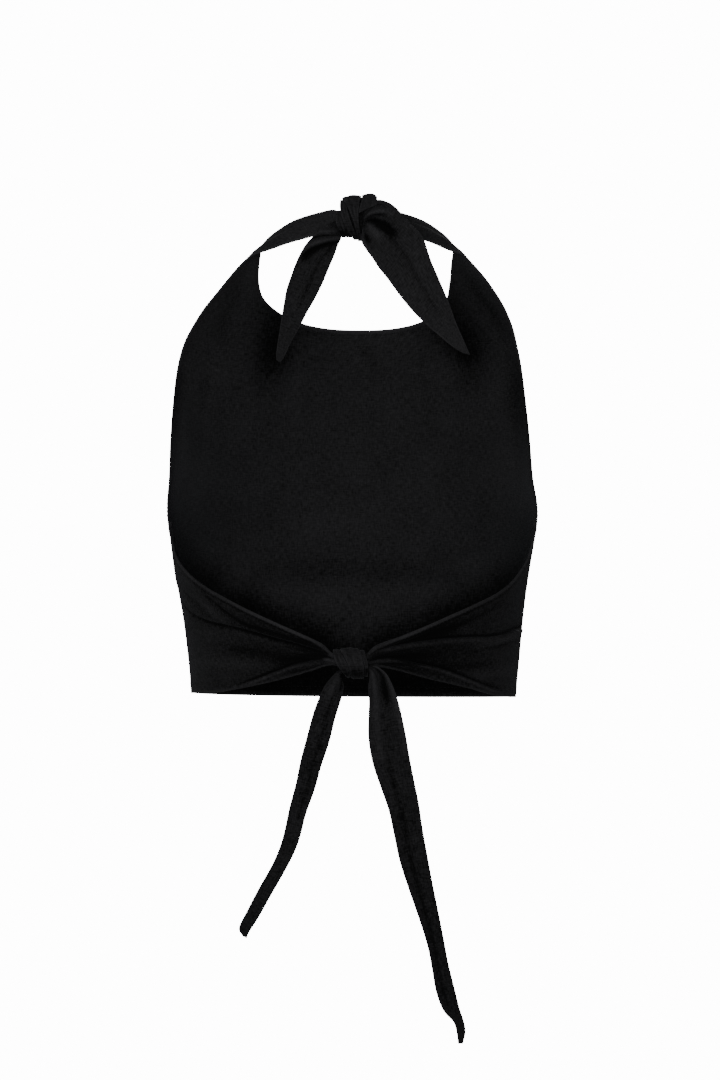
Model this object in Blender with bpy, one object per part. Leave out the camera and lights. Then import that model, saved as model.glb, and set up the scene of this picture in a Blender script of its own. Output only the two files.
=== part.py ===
"""Halter neck top in its worn, hollow form.

A wide front cloth runs up into a strap over each shoulder. The straps are knotted at the nape
and their ends hang as two pointed tails. Below the arms two tapering wings come round from the
side seams, are gathered into a knot at the small of the back, and hang from it as two long
tails.

The shapes are written in the garment's own working frame, in millimetres: z = 0 at the hem,
x = 0 on the centre line, y = 0 near the side seams, +y towards the wearer's front. An empty
carries them all to the part's frame, whose origin is where the nape holds the straps.
"""

import math
from collections import namedtuple

import bmesh
import bpy
from mathutils import Vector

MM = 0.001

# ---------------------------------------------------------------- driving sizes, millimetres
NAPE = Vector((4.0, -54.0, 366.0))  # the straps' inner face at the back of the neck
CLOTH = 1.5  # wall of the front and the wings
TIE = 1.9  # wall of the hanging ties
WRAP = 2.2  # a tie folded together where it winds round a knot
PACKED = 4.2  # cloth gathered together as it enters a knot
SEAM_GAP = 0.3
NECKLINE_BOTTOM = 283.6
NECKLINE_HALF = 74.8
NECKLINE_RISE = 37.0  # height of its round lower part
NECKLINE_FLAT = 1.22  # above 1 its bottom is flatter than an ellipse
NECKLINE_MIDDLE = 1.0  # its sides stand this far right of the centre line
NECKLINE_SWAY = 5.0  # and its bottom this much further
BIB_TOP = 250.0  # up to here the front is one plain width
YOKE_TOP = 342.0  # where the front has narrowed to its straps
HEM_DIP = 3.0  # the hem is this much lower at the centre front
HEM_TILT = 1.0  # and this much lower at the right side, higher at the left
NECK_CENTRE = 4.0  # the neck's middle, seen from behind
NECK_HEART = Vector((NECK_CENTRE, 0.0, 300.0))  # a point inside the neck's foot
STRAP_CROWN = 2.4  # how much a strap's middle stands off its edges
WING_DEPTH = 85.0  # from the side seams back to the spine
WING_LAST_TURN = 86.9
WAIST_KNOT = Vector((0.0, -97.0, 25.4))
NECK_KNOT = Vector((0.0, -66.0, 362.3))

# How finely each cloth is divided
SIDE_COLUMNS, MIDDLE_COLUMNS, LOW_ROWS = 10, 12, 13
BIB_ROWS, YOKE_ROWS, STRAP_ROWS = 4, 14, 14
WING_ALONG, WING_UP = 26, 16
RING_AROUND, RING_ACROSS = 24, 4

# ---------------------------------------------------------------- tables
Section = namedtuple("Section", "height half lean front edge arc")
# Level sections of the front cloth. half: from its middle to its side edge; lean: how far the
# middle sits to the right; front and edge: how far forward the middle and the side edges are;
# arc: how far round its ellipse a side edge comes, in degrees.
SECTIONS = (
    Section(0.0, 124.7, 0.0, 92.0, -4.0, 90.0),
    Section(31.0, 127.8, 0.0, 95.0, -4.0, 90.0),
    Section(62.0, 131.2, -0.3, 100.0, -4.0, 90.0),
    Section(93.0, 135.9, -0.8, 109.0, -4.0, 90.0),
    Section(118.0, 139.9, -0.4, 118.0, -4.0, 90.0),
    Section(136.0, 142.2, -0.4, 121.0, -3.0, 90.0),
    Section(150.0, 142.2, -0.8, 120.5, 3.0, 87.0),
    Section(167.0, 140.4, -1.6, 118.0, 13.0, 82.0),
    Section(198.0, 139.0, -2.3, 110.0, 27.0, 74.0),
    Section(229.0, 136.5, -2.8, 99.0, 37.0, 68.0),
    Section(254.0, 133.5, -2.8, 88.0, 40.0, 65.0),
    Section(273.0, 129.0, -2.1, 79.0, 38.0, 63.0),
    Section(285.0, 124.3, -0.5, 73.0, 34.0, 62.0),
    Section(298.0, 117.4, 1.0, 65.0, 28.0, 63.0),
    Section(310.0, 109.7, 2.3, 56.0, 20.0, 65.0),
    Section(322.0, 99.9, 2.9, 48.0, 10.0, 68.0),
)

Edges = namedtuple("Edges", "step in_mid in_x in_y in_z out_mid out_x out_y out_z")
# The shoulder part of the front: its neck edge and its arm edge. mid: the place, right of the
# centre line, from which both sides' edges are measured.
SHOULDER = (
    Edges(298.0, 1.0, 66.0, 50.0, 298.0, 1.2, 115.3, 28.0, 298.0),
    Edges(310.0, 1.0, 72.0, 41.0, 310.0, 2.4, 108.3, 19.0, 310.0),
    Edges(322.0, 1.0, 74.3, 30.0, 322.0, 3.1, 99.0, 8.0, 322.0),
    Edges(333.0, 1.6, 74.5, 19.0, 333.0, 3.1, 89.2, -5.0, 332.5),
    Edges(342.0, 3.0, 74.6, 8.0, 343.0, 3.9, 80.8, -17.0, 340.0),
)
# The strap from there round the back of the neck: its neck edge and its lower edge.
STRAP = (
    Edges(0.0, 3.0, 74.6, 8.0, 343.0, 3.9, 80.8, -17.0, 340.0),
    Edges(1.0, 3.6, 70.9, -8.0, 350.6, 4.4, 68.5, -32.0, 343.2),
    Edges(2.0, 3.9, 64.0, -19.0, 356.8, 5.8, 56.0, -44.0, 347.5),
    Edges(3.0, 4.2, 49.7, -34.0, 364.7, 6.8, 42.0, -55.0, 352.0),
    Edges(4.0, 5.0, 30.5, -48.0, 370.3, 5.0, 27.0, -60.5, 356.0),
    Edges(5.0, 4.0, 17.5, -60.8, 369.2, 4.0, 17.5, -64.6, 357.4),
    Edges(6.0, 4.0, 10.0, -61.8, 367.0, 4.0, 10.0, -65.5, 358.4),
)

Crease = namedtuple("Crease", "rise spread x0 z0 x1 z1 x2 z2")
# Soft creases of the front: forward of the cloth if rise is positive, and their line seen from
# behind.
FRONT_CREASES = (
    Crease(3.6, 5.5, 84.0, 333.0, 104.0, 305.0, 119.0, 280.0),
    Crease(2.4, 6.0, 119.0, 280.0, 127.5, 235.0, 130.5, 172.0),
    Crease(-1.6, 4.0, -133.0, 228.0, -132.2, 197.0, -133.5, 165.0),
    Crease(1.8, 5.0, -92.0, 326.0, -96.5, 300.0, -104.0, 277.0),
    Crease(2.6, 11.0, -72.0, 303.0, -67.0, 265.0, -66.0, 222.0),
    Crease(2.0, 12.0, 84.0, 296.0, 92.0, 262.0, 90.0, 225.0),
    Crease(2.2, 9.0, -96.0, 92.0, 0.0, 101.0, 96.0, 90.0),
    Crease(-1.8, 9.0, -134.0, 62.0, -104.0, 74.0, -78.0, 104.0),
    Crease(-1.8, 9.0, 134.0, 58.0, 106.0, 70.0, 80.0, 106.0),
    Crease(1.4, 4.5, 0.0, 273.0, 9.0, 262.0, 19.0, 250.0),
)

Rim = namedtuple("Rim", "turn top_left top_right foot_left foot_right lift")
# Upper and lower edges of a wing by how far round the back it has come, in degrees from the
# side seam; lift: how far the cloth stands off the back as it rises to the knot.
WING_RIMS = (
    Rim(0.0, 134.0, 134.0, 1.0, -1.0, 0.0),
    Rim(4.0, 127.0, 126.0, 1.0, -1.0, 0.0),
    Rim(8.0, 117.5, 116.0, 1.1, -0.9, 0.0),
    Rim(12.0, 107.5, 105.0, 1.2, -0.8, 0.0),
    Rim(18.0, 99.5, 96.5, 1.4, -0.5, 0.0),
    Rim(25.0, 92.0, 88.0, 1.6, 0.2, 0.0),
    Rim(34.0, 83.2, 79.0, 2.4, 1.8, 0.0),
    Rim(45.0, 73.5, 70.5, 5.0, 5.5, 0.0),
    Rim(55.0, 64.2, 62.5, 8.5, 9.5, 0.5),
    Rim(65.0, 55.1, 53.8, 13.0, 14.0, 2.0),
    Rim(75.0, 45.6, 45.2, 19.0, 20.0, 4.5),
    Rim(80.0, 39.8, 41.2, 23.0, 22.5, 6.5),
    Rim(83.0, 33.0, 38.0, 24.5, 23.3, 7.5),
    Rim(85.0, 31.3, 33.0, 24.0, 23.5, 8.0),
    Rim(86.9, 30.5, 31.0, 23.5, 23.0, 8.0),
)

Fold = namedtuple("Fold", "side_share knot_share rise spread start")
# Folds that run from the side into the waist knot. Shares are of the wing's height there,
# from its lower edge; rise: outward, or inward if negative; spread: half its breadth, as a
# share; start: how far along the wing it begins.
LEFT_FOLDS = (
    Fold(0.72, 0.80, -3.0, 0.070, -0.30),
    Fold(0.58, 0.64, 3.0, 0.110, -0.10),
    Fold(0.42, 0.46, -1.8, 0.090, 0.35),
    Fold(0.14, 0.30, 2.4, 0.110, 0.20),
)
RIGHT_FOLDS = (
    Fold(0.70, 0.80, -2.6, 0.065, 0.10),
    Fold(0.50, 0.64, 3.0, 0.100, -0.30),
    Fold(0.38, 0.46, -2.4, 0.080, -0.10),
    Fold(0.12, 0.30, 2.4, 0.110, 0.15),
)

Span = namedtuple("Span", "left_x left_z right_x right_z depth turn")
# Hanging ties by pairs of points on their two edges. depth: where the middle hangs; turn: how
# much further from the wearer the right edge is than the left.
NECK_TAIL_LEFT = (
    Span(-15.0, 363.0, -12.7, 352.6, -72.6, 0.0),
    Span(-20.0, 359.5, -11.0, 349.5, -77.5, 0.0),
    Span(-26.5, 355.5, -12.3, 344.0, -80.5, 2.0),
    Span(-33.5, 348.5, -14.2, 337.5, -83.0, 3.0),
    Span(-39.5, 340.0, -16.8, 330.5, -84.0, 3.0),
    Span(-44.0, 330.5, -19.9, 323.0, -85.0, 3.0),
    Span(-47.5, 321.0, -23.9, 313.5, -86.0, 2.0),
    Span(-50.0, 311.0, -29.0, 303.5, -86.5, 1.0),
    Span(-52.0, 300.5, -35.0, 293.0, -87.0, 0.0),
    Span(-54.5, 287.5, -41.0, 281.5, -87.5, -1.0),
    Span(-57.0, 273.5, -47.5, 270.0, -88.0, -1.0),
    Span(-58.5, 262.0, -53.0, 258.5, -88.5, 0.0),
    Span(-58.5, 257.0, -56.0, 255.0, -88.5, 0.0),
)
NECK_TAIL_RIGHT = (
    Span(7.6, 352.5, 8.0, 371.6, -76.0, -2.0),
    Span(6.4, 349.5, 14.5, 376.3, -77.6, -12.0),
    Span(7.2, 346.0, 24.2, 378.2, -80.8, -8.6),
    Span(9.7, 341.5, 32.2, 373.4, -84.6, -5.0),
    Span(14.9, 334.5, 39.2, 365.8, -85.5, -3.0),
    Span(19.8, 327.0, 46.9, 358.3, -86.0, -2.0),
    Span(26.3, 319.0, 53.9, 350.0, -86.0, -1.0),
    Span(35.8, 306.0, 59.6, 333.3, -86.5, 0.0),
    Span(45.3, 294.5, 65.8, 318.8, -87.0, 0.0),
    Span(55.3, 284.5, 72.7, 302.3, -87.5, 0.0),
    Span(66.5, 275.0, 78.5, 286.0, -88.0, 0.0),
    Span(75.5, 267.5, 84.5, 272.0, -88.5, 0.0),
    Span(84.5, 262.0, 89.5, 260.5, -89.0, 0.0),
)
WAIST_TAIL_LEFT = (
    Span(-9.6, 21.3, -7.2, 19.2, -99.3, 0.0),
    Span(-13.0, 18.4, -9.6, 16.0, -99.8, 0.0),
    Span(-16.7, 14.5, -7.6, 11.5, -101.6, 0.0),
    Span(-20.8, 9.5, -7.0, 6.0, -102.5, 0.0),
    Span(-24.9, 1.5, -9.0, -2.5, -102.0, 1.0),
    Span(-30.0, -11.5, -13.5, -17.0, -101.0, 2.0),
    Span(-34.4, -30.0, -17.8, -34.5, -100.0, 3.0),
    Span(-39.3, -48.5, -24.0, -53.0, -99.0, 3.0),
    Span(-43.7, -66.5, -29.0, -71.0, -98.0, 3.0),
    Span(-47.7, -85.0, -35.5, -89.0, -98.0, 4.0),
    Span(-51.7, -101.5, -40.3, -105.5, -98.0, 4.0),
    Span(-55.5, -114.0, -44.7, -117.5, -98.0, 4.0),
    Span(-61.8, -128.5, -51.8, -132.0, -98.0, 2.0),
    Span(-71.2, -145.0, -61.5, -150.0, -98.0, 0.0),
    Span(-80.9, -163.5, -71.6, -168.0, -98.0, 0.0),
    Span(-87.0, -176.2, -78.9, -179.4, -98.0, 0.0),
    Span(-83.9, -182.8, -81.0, -184.3, -98.0, 0.0),
)
WAIST_TAIL_RIGHT = (
    Span(9.5, 20.2, 9.8, 22.8, -99.9, 0.0),
    Span(12.9, 19.2, 13.9, 23.2, -100.6, 0.0),
    Span(12.8, 14.2, 19.2, 22.4, -102.4, 0.0),
    Span(11.9, 8.7, 24.8, 18.3, -103.8, 0.0),
    Span(11.8, 3.0, 28.5, 12.3, -104.0, 0.0),
    Span(12.2, -4.2, 32.0, 4.0, -103.5, -1.0),
    Span(11.8, -14.6, 35.7, -8.0, -103.0, -2.0),
    Span(11.7, -31.5, 40.0, -27.5, -102.0, -3.0),
    Span(14.8, -50.0, 43.3, -46.0, -101.0, -3.0),
    Span(21.4, -68.0, 46.6, -63.0, -100.0, -3.0),
    Span(27.9, -86.5, 50.3, -81.0, -99.0, -3.0),
    Span(31.5, -106.5, 53.3, -101.0, -98.0, -2.0),
    Span(35.7, -126.0, 57.0, -121.5, -98.0, 0.0),
    Span(43.4, -147.5, 61.0, -143.0, -98.0, 2.0),
    Span(50.4, -169.5, 65.7, -166.0, -98.0, 3.0),
    Span(56.7, -189.5, 69.7, -186.5, -98.0, 4.0),
    Span(60.0, -205.5, 72.7, -202.5, -98.0, 4.0),
    Span(63.4, -225.0, 76.7, -222.0, -98.0, 4.0),
    Span(69.0, -239.2, 81.0, -237.5, -98.0, 6.0),
    Span(76.9, -248.0, 83.6, -245.0, -98.0, 8.0),
    Span(79.4, -256.0, 85.6, -254.5, -98.0, 6.0),
    Span(80.5, -264.8, 83.8, -264.6, -98.0, 2.0),
)

Pleat = namedtuple("Pleat", "root share rise spread length")
# Pleats that start at a tie's knot and die out along it. root and share: their place across the
# tie from its left edge, at the knot and further on; rise: away from the wearer; spread: half
# their breadth; length: as a share of the tie.
NECK_PLEATS_LEFT = (Pleat(0.4, 0.22, 2.4, 0.16, 0.42), Pleat(0.8, 0.62, -2.0, 0.16, 0.36))
NECK_PLEATS_RIGHT = (
    Pleat(0.40, 0.10, 1.2, 0.08, 0.30),
    Pleat(0.48, 0.24, -2.2, 0.08, 0.34),
    Pleat(0.56, 0.42, 1.6, 0.09, 0.34),
    Pleat(0.66, 0.60, -3.0, 0.08, 0.42),
    Pleat(0.80, 0.84, 1.6, 0.08, 0.36),
)
WAIST_PLEATS_LEFT = (Pleat(0.5, 0.5, 1.0, 0.25, 0.25),)
WAIST_PLEATS_RIGHT = (
    Pleat(0.35, 0.30, 1.0, 0.16, 0.40),
    Pleat(0.55, 0.62, -2.8, 0.13, 0.34),
    Pleat(0.80, 0.90, 1.4, 0.10, 0.34),
)

Turn = namedtuple("Turn", "top_l top_r mid_l mid_r foot_l foot_r back deep high")
# A tie's turn round a knot: its two edges over the top, half way and under the foot; how far
# its middle is moved back towards the wearer; its outer radii in depth and in height.
WAIST_WRAP = Turn(-10.2, 4.8, -4.3, 8.1, -1.6, 8.5, 0.0, 11.5, 12.2)
WAIST_CROSS = Turn(-15.2, -10.9, -12.7, -5.0, -4.8, -2.3, 0.0, 10.2, 11.0)
WAIST_EDGE = Turn(5.5, 8.6, 8.8, 11.2, 9.2, 11.4, 0.0, 9.4, 10.4)
NECK_COLLAR = Turn(-12.6, -7.3, -12.7, -5.5, -9.6, -2.0, 2.0, 9.8, 11.0)
NECK_TURN_A = Turn(-6.7, -2.5, -4.9, -1.2, -1.4, 2.4, 0.0, 12.6, 13.5)
NECK_TURN_B = Turn(-1.8, 3.4, -0.6, 5.6, 3.0, 6.6, 0.0, 12.0, 13.0)

Cap = namedtuple("Cap", "share x high end")
# The smooth tie over the top of the neck knot: across it, its outer height above the knot's
# middle and the angle above level at which its front end is tucked in.
NECK_CAP = (
    Cap(0.0, -8.6, 18.6, 46.0),
    Cap(0.3, -0.5, 21.0, 27.0),
    Cap(0.5, 5.0, 22.2, 22.0),
    Cap(0.8, 13.5, 22.9, 34.0),
    Cap(1.0, 18.0, 20.1, 66.0),
)
CAP_DEEP = 15.6
CAP_BACK_ANGLE = 150.0


# ---------------------------------------------------------------- curves and surfaces
def mix(a, b, share):
    return a + (b - a) * share


def ease(low, high, value):
    """0 below low, 1 above high, and a smooth step between them."""
    share = min(1.0, max(0.0, (value - low) / (high - low)))
    return share * share * (3.0 - 2.0 * share)


def read(rows, column, at):
    """A column's value at a place along the rows' first column, on a smooth curve."""
    steps = [row[0] for row in rows]
    return smooth(steps, [getattr(row, column) for row in rows], at)


def smooth(steps, values, at):
    """The value at a place between the steps, on a smooth curve through all the values."""
    at = min(max(at, steps[0]), steps[-1])
    i = max(k for k in range(len(steps) - 1) if steps[k] <= at)
    gap = steps[i + 1] - steps[i]
    slopes = []
    for k in (i, i + 1):
        low, high = max(k - 1, 0), min(k + 1, len(steps) - 1)
        slopes.append((values[high] - values[low]) / (steps[high] - steps[low]))
    t = (at - steps[i]) / gap
    return (
        values[i] * (1 + 2 * t) * (1 - t) ** 2
        + slopes[0] * gap * t * (1 - t) ** 2
        + values[i + 1] * t * t * (3 - 2 * t)
        + slopes[1] * gap * t * t * (t - 1)
    )


def crease_push(x, z):
    """How far the soft creases push the front cloth forward."""
    total = 0.0
    for crease in FRONT_CREASES:
        nearest, along = 1e9, 0.0
        for k in range(25):
            t = k / 24
            line_x = (1 - t) ** 2 * crease.x0 + 2 * t * (1 - t) * crease.x1 + t * t * crease.x2
            line_z = (1 - t) ** 2 * crease.z0 + 2 * t * (1 - t) * crease.z1 + t * t * crease.z2
            gap = math.hypot(x - line_x, z - line_z)
            if gap < nearest:
                nearest, along = gap, t
        fade = 0.35 + 0.65 * math.sin(math.pi * min(1.0, max(0.0, along)))
        total += crease.rise * fade * math.exp(-((nearest / crease.spread) ** 2))
    return total


def front_point(share, height):
    """The front cloth at a share of its breadth, -1 to 1, and a height."""
    arc = math.radians(read(SECTIONS, "arc", height))
    half = read(SECTIONS, "half", height)
    edge = read(SECTIONS, "edge", height)
    forward = read(SECTIONS, "front", height) - edge
    bend = (math.cos(share * arc) - math.cos(arc)) / (1.0 - math.cos(arc))
    x = read(SECTIONS, "lean", height) + half * math.sin(share * arc) / math.sin(arc)
    calm = ease(0.0, 0.06, 1.0 - abs(share))
    return Vector((x, edge + forward * bend + calm * crease_push(x, height), height))


def share_at(x, height):
    """The share of the front's breadth at a place seen from behind."""
    arc = math.radians(read(SECTIONS, "arc", height))
    reach = (x - read(SECTIONS, "lean", height)) / read(SECTIONS, "half", height)
    return math.asin(max(-1.0, min(1.0, reach * math.sin(arc)))) / arc


def neckline(theta):
    """Share of the breadth and height of the neckline at an angle round its lower part."""
    height = NECKLINE_BOTTOM + NECKLINE_RISE * (1.0 - math.cos(theta)) ** NECKLINE_FLAT
    middle = NECKLINE_MIDDLE + NECKLINE_SWAY * math.cos(theta)
    return share_at(middle + NECKLINE_HALF * math.sin(theta), height), height


def crowned(inner, outer, u):
    """A point across a strap whose middle stands off its two edges."""
    across = (outer - inner).normalized()
    away = (inner + outer) / 2 - NECK_HEART
    away = (away - across * away.dot(across)).normalized()
    return inner.lerp(outer, u) + away * STRAP_CROWN * math.sin(u * math.pi)


def edge_points(rows, side, step):
    """The neck edge and the outer edge of a shoulder or strap, at a step along it."""
    at = Edges(step, *(read(rows, column, step) for column in Edges._fields[1:]))
    inner = Vector((at.in_mid + side * at.in_x, at.in_y, at.in_z))
    outer = Vector((at.out_mid + side * at.out_x, at.out_y, at.out_z))
    return inner, outer


BIB_SHARE = MIDDLE_COLUMNS / (MIDDLE_COLUMNS + 2 * SIDE_COLUMNS)  # half the bib's columns
BIB_ANGLE = math.radians(50)  # how far round the neckline the bib comes


def front_low(first, last):
    """The front from the hem to the bib's foot, between two shares of its breadth."""

    def surface(u, v):
        share = mix(first, last, u)
        point = front_point(share, BIB_TOP * v)
        drop = HEM_DIP * math.cos(share * math.pi / 2) + HEM_TILT * share
        point.z -= drop * (1.0 - ease(0.0, 0.3, v))
        return point

    return surface


def bib(u, v):
    """The front between the plain part and the bottom of the neckline."""
    top_share, top_height = neckline(mix(-BIB_ANGLE, BIB_ANGLE, u))
    foot_share = mix(-BIB_SHARE, BIB_SHARE, u)
    return front_point(mix(foot_share, top_share, v), mix(BIB_TOP, top_height, v))


def yoke(side):
    """The front beside the bib and the neckline, u from there to the arm edge."""
    low, high = BIB_ROWS / YOKE_ROWS, 0.72

    def inner_edge(v):
        if v <= low:
            share, height = neckline(side * BIB_ANGLE)
            return mix(side * BIB_SHARE, share, v / low), mix(BIB_TOP, height, v / low)
        theta = mix(BIB_ANGLE, math.pi / 2, min(1.0, (v - low) / (high - low)))
        share, height = neckline(side * theta)
        return share, height + max(0.0, v - high) / (1 - high) * (YOKE_TOP - height)

    def surface(u, v):
        share, height = inner_edge(v)
        share, height = mix(share, side, u), mix(height, mix(BIB_TOP, YOKE_TOP, v), u)
        body = front_point(share, min(height, SECTIONS[-1].height))
        if height < SHOULDER[0].step:
            return body
        shoulder = crowned(*edge_points(SHOULDER, side, height), u)
        calm = ease(0.0, 0.1, u) * ease(0.0, 0.1, 1.0 - u) * ease(0.0, 12.0, YOKE_TOP - height)
        shoulder.y += calm * crease_push(shoulder.x, height)
        return body.lerp(shoulder, ease(298.0, 318.0, height))

    return surface


def strap(side):
    """A strap from the top of the yoke to the neck knot."""

    def surface(u, v):
        return crowned(*edge_points(STRAP, side, v * STRAP[-1].step), u)

    return surface


def fold_rise(folds, share, along, tall):
    """How far the folds push a wing's cloth out at a share of its height."""
    total = 0.0
    for fold in folds:
        line = mix(fold.side_share, fold.knot_share, along)
        strength = ease(fold.start, fold.start + 0.55, along)
        total += fold.rise * strength * math.exp(-(((share - line) / fold.spread) ** 2))
    calm = 1.0 - 0.9 * ease(0.72, 0.92, along)
    return total * ease(0.0, 0.1, along) * calm * min(1.0, tall / 42.0) ** 1.5


def wing(side, folds):
    """A back wing: u from its side seam to the waist knot, v from its lower edge up."""
    word = "left" if side < 0 else "right"
    first_turn = math.degrees(SEAM_GAP / SECTIONS[0].half)

    def surface(u, v):
        turn = mix(first_turn, WING_LAST_TURN, 1.0 - (1.0 - u) ** 1.25)
        low, top = read(WING_RIMS, "foot_" + word, turn), read(WING_RIMS, "top_" + word, turn)
        height = mix(low, top, v)
        half = read(SECTIONS, "half", height)
        seam = read(SECTIONS, "edge", height)
        lift = read(WING_RIMS, "lift", turn) + fold_rise(folds, v, u, top - low)
        angle = math.radians(turn)
        x = read(SECTIONS, "lean", height) * (1 - u) + side * half * math.cos(angle)
        base = Vector((x, seam - WING_DEPTH * math.sin(angle), height))
        out = Vector((side * math.cos(angle), -math.sin(angle) * half / WING_DEPTH, 0.0))
        return base + out.normalized() * lift

    return surface


def ribbon(spans, pleats):
    """A hanging tie between its two edges, with the pleats that come from its knot."""
    steps = list(range(len(spans)))
    columns = {name: [getattr(span, name) for span in spans] for name in Span._fields}

    def surface(u, v):
        at = v * steps[-1]
        value = {name: smooth(steps, column, at) for name, column in columns.items()}
        left = Vector((value["left_x"], value["depth"] + value["turn"] / 2, value["left_z"]))
        right = Vector((value["right_x"], value["depth"] - value["turn"] / 2, value["right_z"]))
        point = left.lerp(right, u)
        width = (right - left).length
        for pleat in pleats:
            strength = ease(0.0, 0.08, v) * (1.0 - ease(0.1, pleat.length, v))
            strength *= min(1.0, width / 16.0) ** 2
            line = mix(pleat.root, pleat.share, ease(0.0, 0.3, v))
            bulge = math.exp(-(((u - line) / pleat.spread) ** 2))
            point.y -= pleat.rise * strength * bulge
        return point

    return surface


def wrap(knot, turn, wall):
    """A closed turn of a folded tie round a knot, at the middle of its wall."""

    def edge(side, s):
        top, mid, foot = (getattr(turn, part + side) for part in ("top_", "mid_", "foot_"))
        return mid + (top - foot) / 2 * s + ((top + foot) / 2 - mid) * s * s

    def surface(u, v):
        angle = v * 2 * math.pi
        s = math.sin(angle)
        left, right = edge("l", s), edge("r", s)
        swell = -0.07 * (right - left) * (2.0 * u - 1.0) ** 2 - wall / 2
        y = turn.back - (turn.deep + swell) * math.cos(angle)
        x = mix(left, right, u)
        return knot + Vector((x, y, (turn.high + swell) * s))

    return surface


def cap(u, v):
    """The smooth tie over the top of the neck knot, v from its tucked front end over."""
    angle = math.radians(mix(read(NECK_CAP, "end", u), CAP_BACK_ANGLE, v))
    high = read(NECK_CAP, "high", u) - WRAP / 2
    deep = CAP_DEEP - WRAP / 2
    x = read(NECK_CAP, "x", u)
    return NECK_KNOT + Vector((x, -deep * math.cos(angle), high * math.sin(angle)))


# ---------------------------------------------------------------- making the objects
def cloth_material(name, colour):
    material = bpy.data.materials.new(name)
    material.use_nodes = True
    shader = material.node_tree.nodes["Principled BSDF"]
    shader.inputs["Base Color"].default_value = (*colour, 1.0)
    shader.inputs["Roughness"].default_value = 0.85
    shader.inputs["Metallic"].default_value = 0.0
    return material


def add_sheet(shape, surface, across, along, gather):
    """Adds a grid of across by along faces to a bmesh, bent into a surface. gather(u, v) is
    how far its cloth is gathered there, from 0 to 1."""
    weights = shape.verts.layers.deform.verify()
    grid = bmesh.ops.create_grid(shape, x_segments=across, y_segments=along, size=0.5)
    for vert in grid["verts"]:
        u = min(1.0, max(0.0, vert.co.x + 0.5))
        v = min(1.0, max(0.0, vert.co.y + 0.5))
        vert.co = surface(u, v) * MM
        vert[weights][0] = gather(u, v)


def finish(name, shape, wall, material, frame):
    """Welds the sheets, thickens them to a wall and links the object to the frame."""
    bmesh.ops.remove_doubles(shape, verts=shape.verts, dist=0.01 * MM)
    bmesh.ops.recalc_face_normals(shape, faces=shape.faces)
    mesh = bpy.data.meshes.new(name)
    shape.to_mesh(mesh)
    shape.free()
    mesh.shade_smooth()
    mesh.set_sharp_from_angle(angle=math.radians(50))
    mesh.materials.append(material)
    obj = bpy.data.objects.new(name, mesh)
    obj.parent = frame
    bpy.context.scene.collection.objects.link(obj)
    if wall:
        obj.vertex_groups.new(name="gathered")
        solid = obj.modifiers.new("wall", "SOLIDIFY")
        solid.thickness = max(wall, PACKED) * MM
        solid.vertex_group = "gathered"
        solid.thickness_vertex_group = wall / PACKED
        solid.offset = 0.0
        solid.use_even_offset = False
    return obj


def plain(u, v):
    return 0.0


def make_cloth(name, sheets, wall, material, frame, gather=plain):
    """One cloth made from sheets of (surface, faces across, faces along)."""
    shape = bmesh.new()
    for surface, across, along in sheets:
        add_sheet(shape, surface, across, along, gather)
    return finish(name, shape, wall, material, frame)


def make_front(material, frame):
    """The front cloth with its two straps, all cut in one."""
    sheets = [(bib, MIDDLE_COLUMNS, BIB_ROWS)]
    sheets.append((front_low(-BIB_SHARE, BIB_SHARE), MIDDLE_COLUMNS, LOW_ROWS))
    for side in (-1, 1):
        sheets.append((front_low(side * BIB_SHARE, side), SIDE_COLUMNS, LOW_ROWS))
        sheets.append((yoke(side), SIDE_COLUMNS, YOKE_ROWS))
        sheets.append((strap(side), SIDE_COLUMNS, STRAP_ROWS))
    return make_cloth("front_panel", sheets, CLOTH, material, frame)


def make_core(name, centre, reach, material, frame):
    """The packed cloth inside a knot, as a long bead along x."""
    shape = bmesh.new()
    bmesh.ops.create_uvsphere(shape, u_segments=20, v_segments=12, radius=1.0)
    for vert in shape.verts:
        end = math.copysign(abs(vert.co.x) ** 0.7, vert.co.x)
        offset = Vector((end * reach.x, vert.co.y * reach.y, vert.co.z * reach.z))
        vert.co = (centre + offset) * MM
    return finish(name, shape, 0.0, material, frame)


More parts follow.
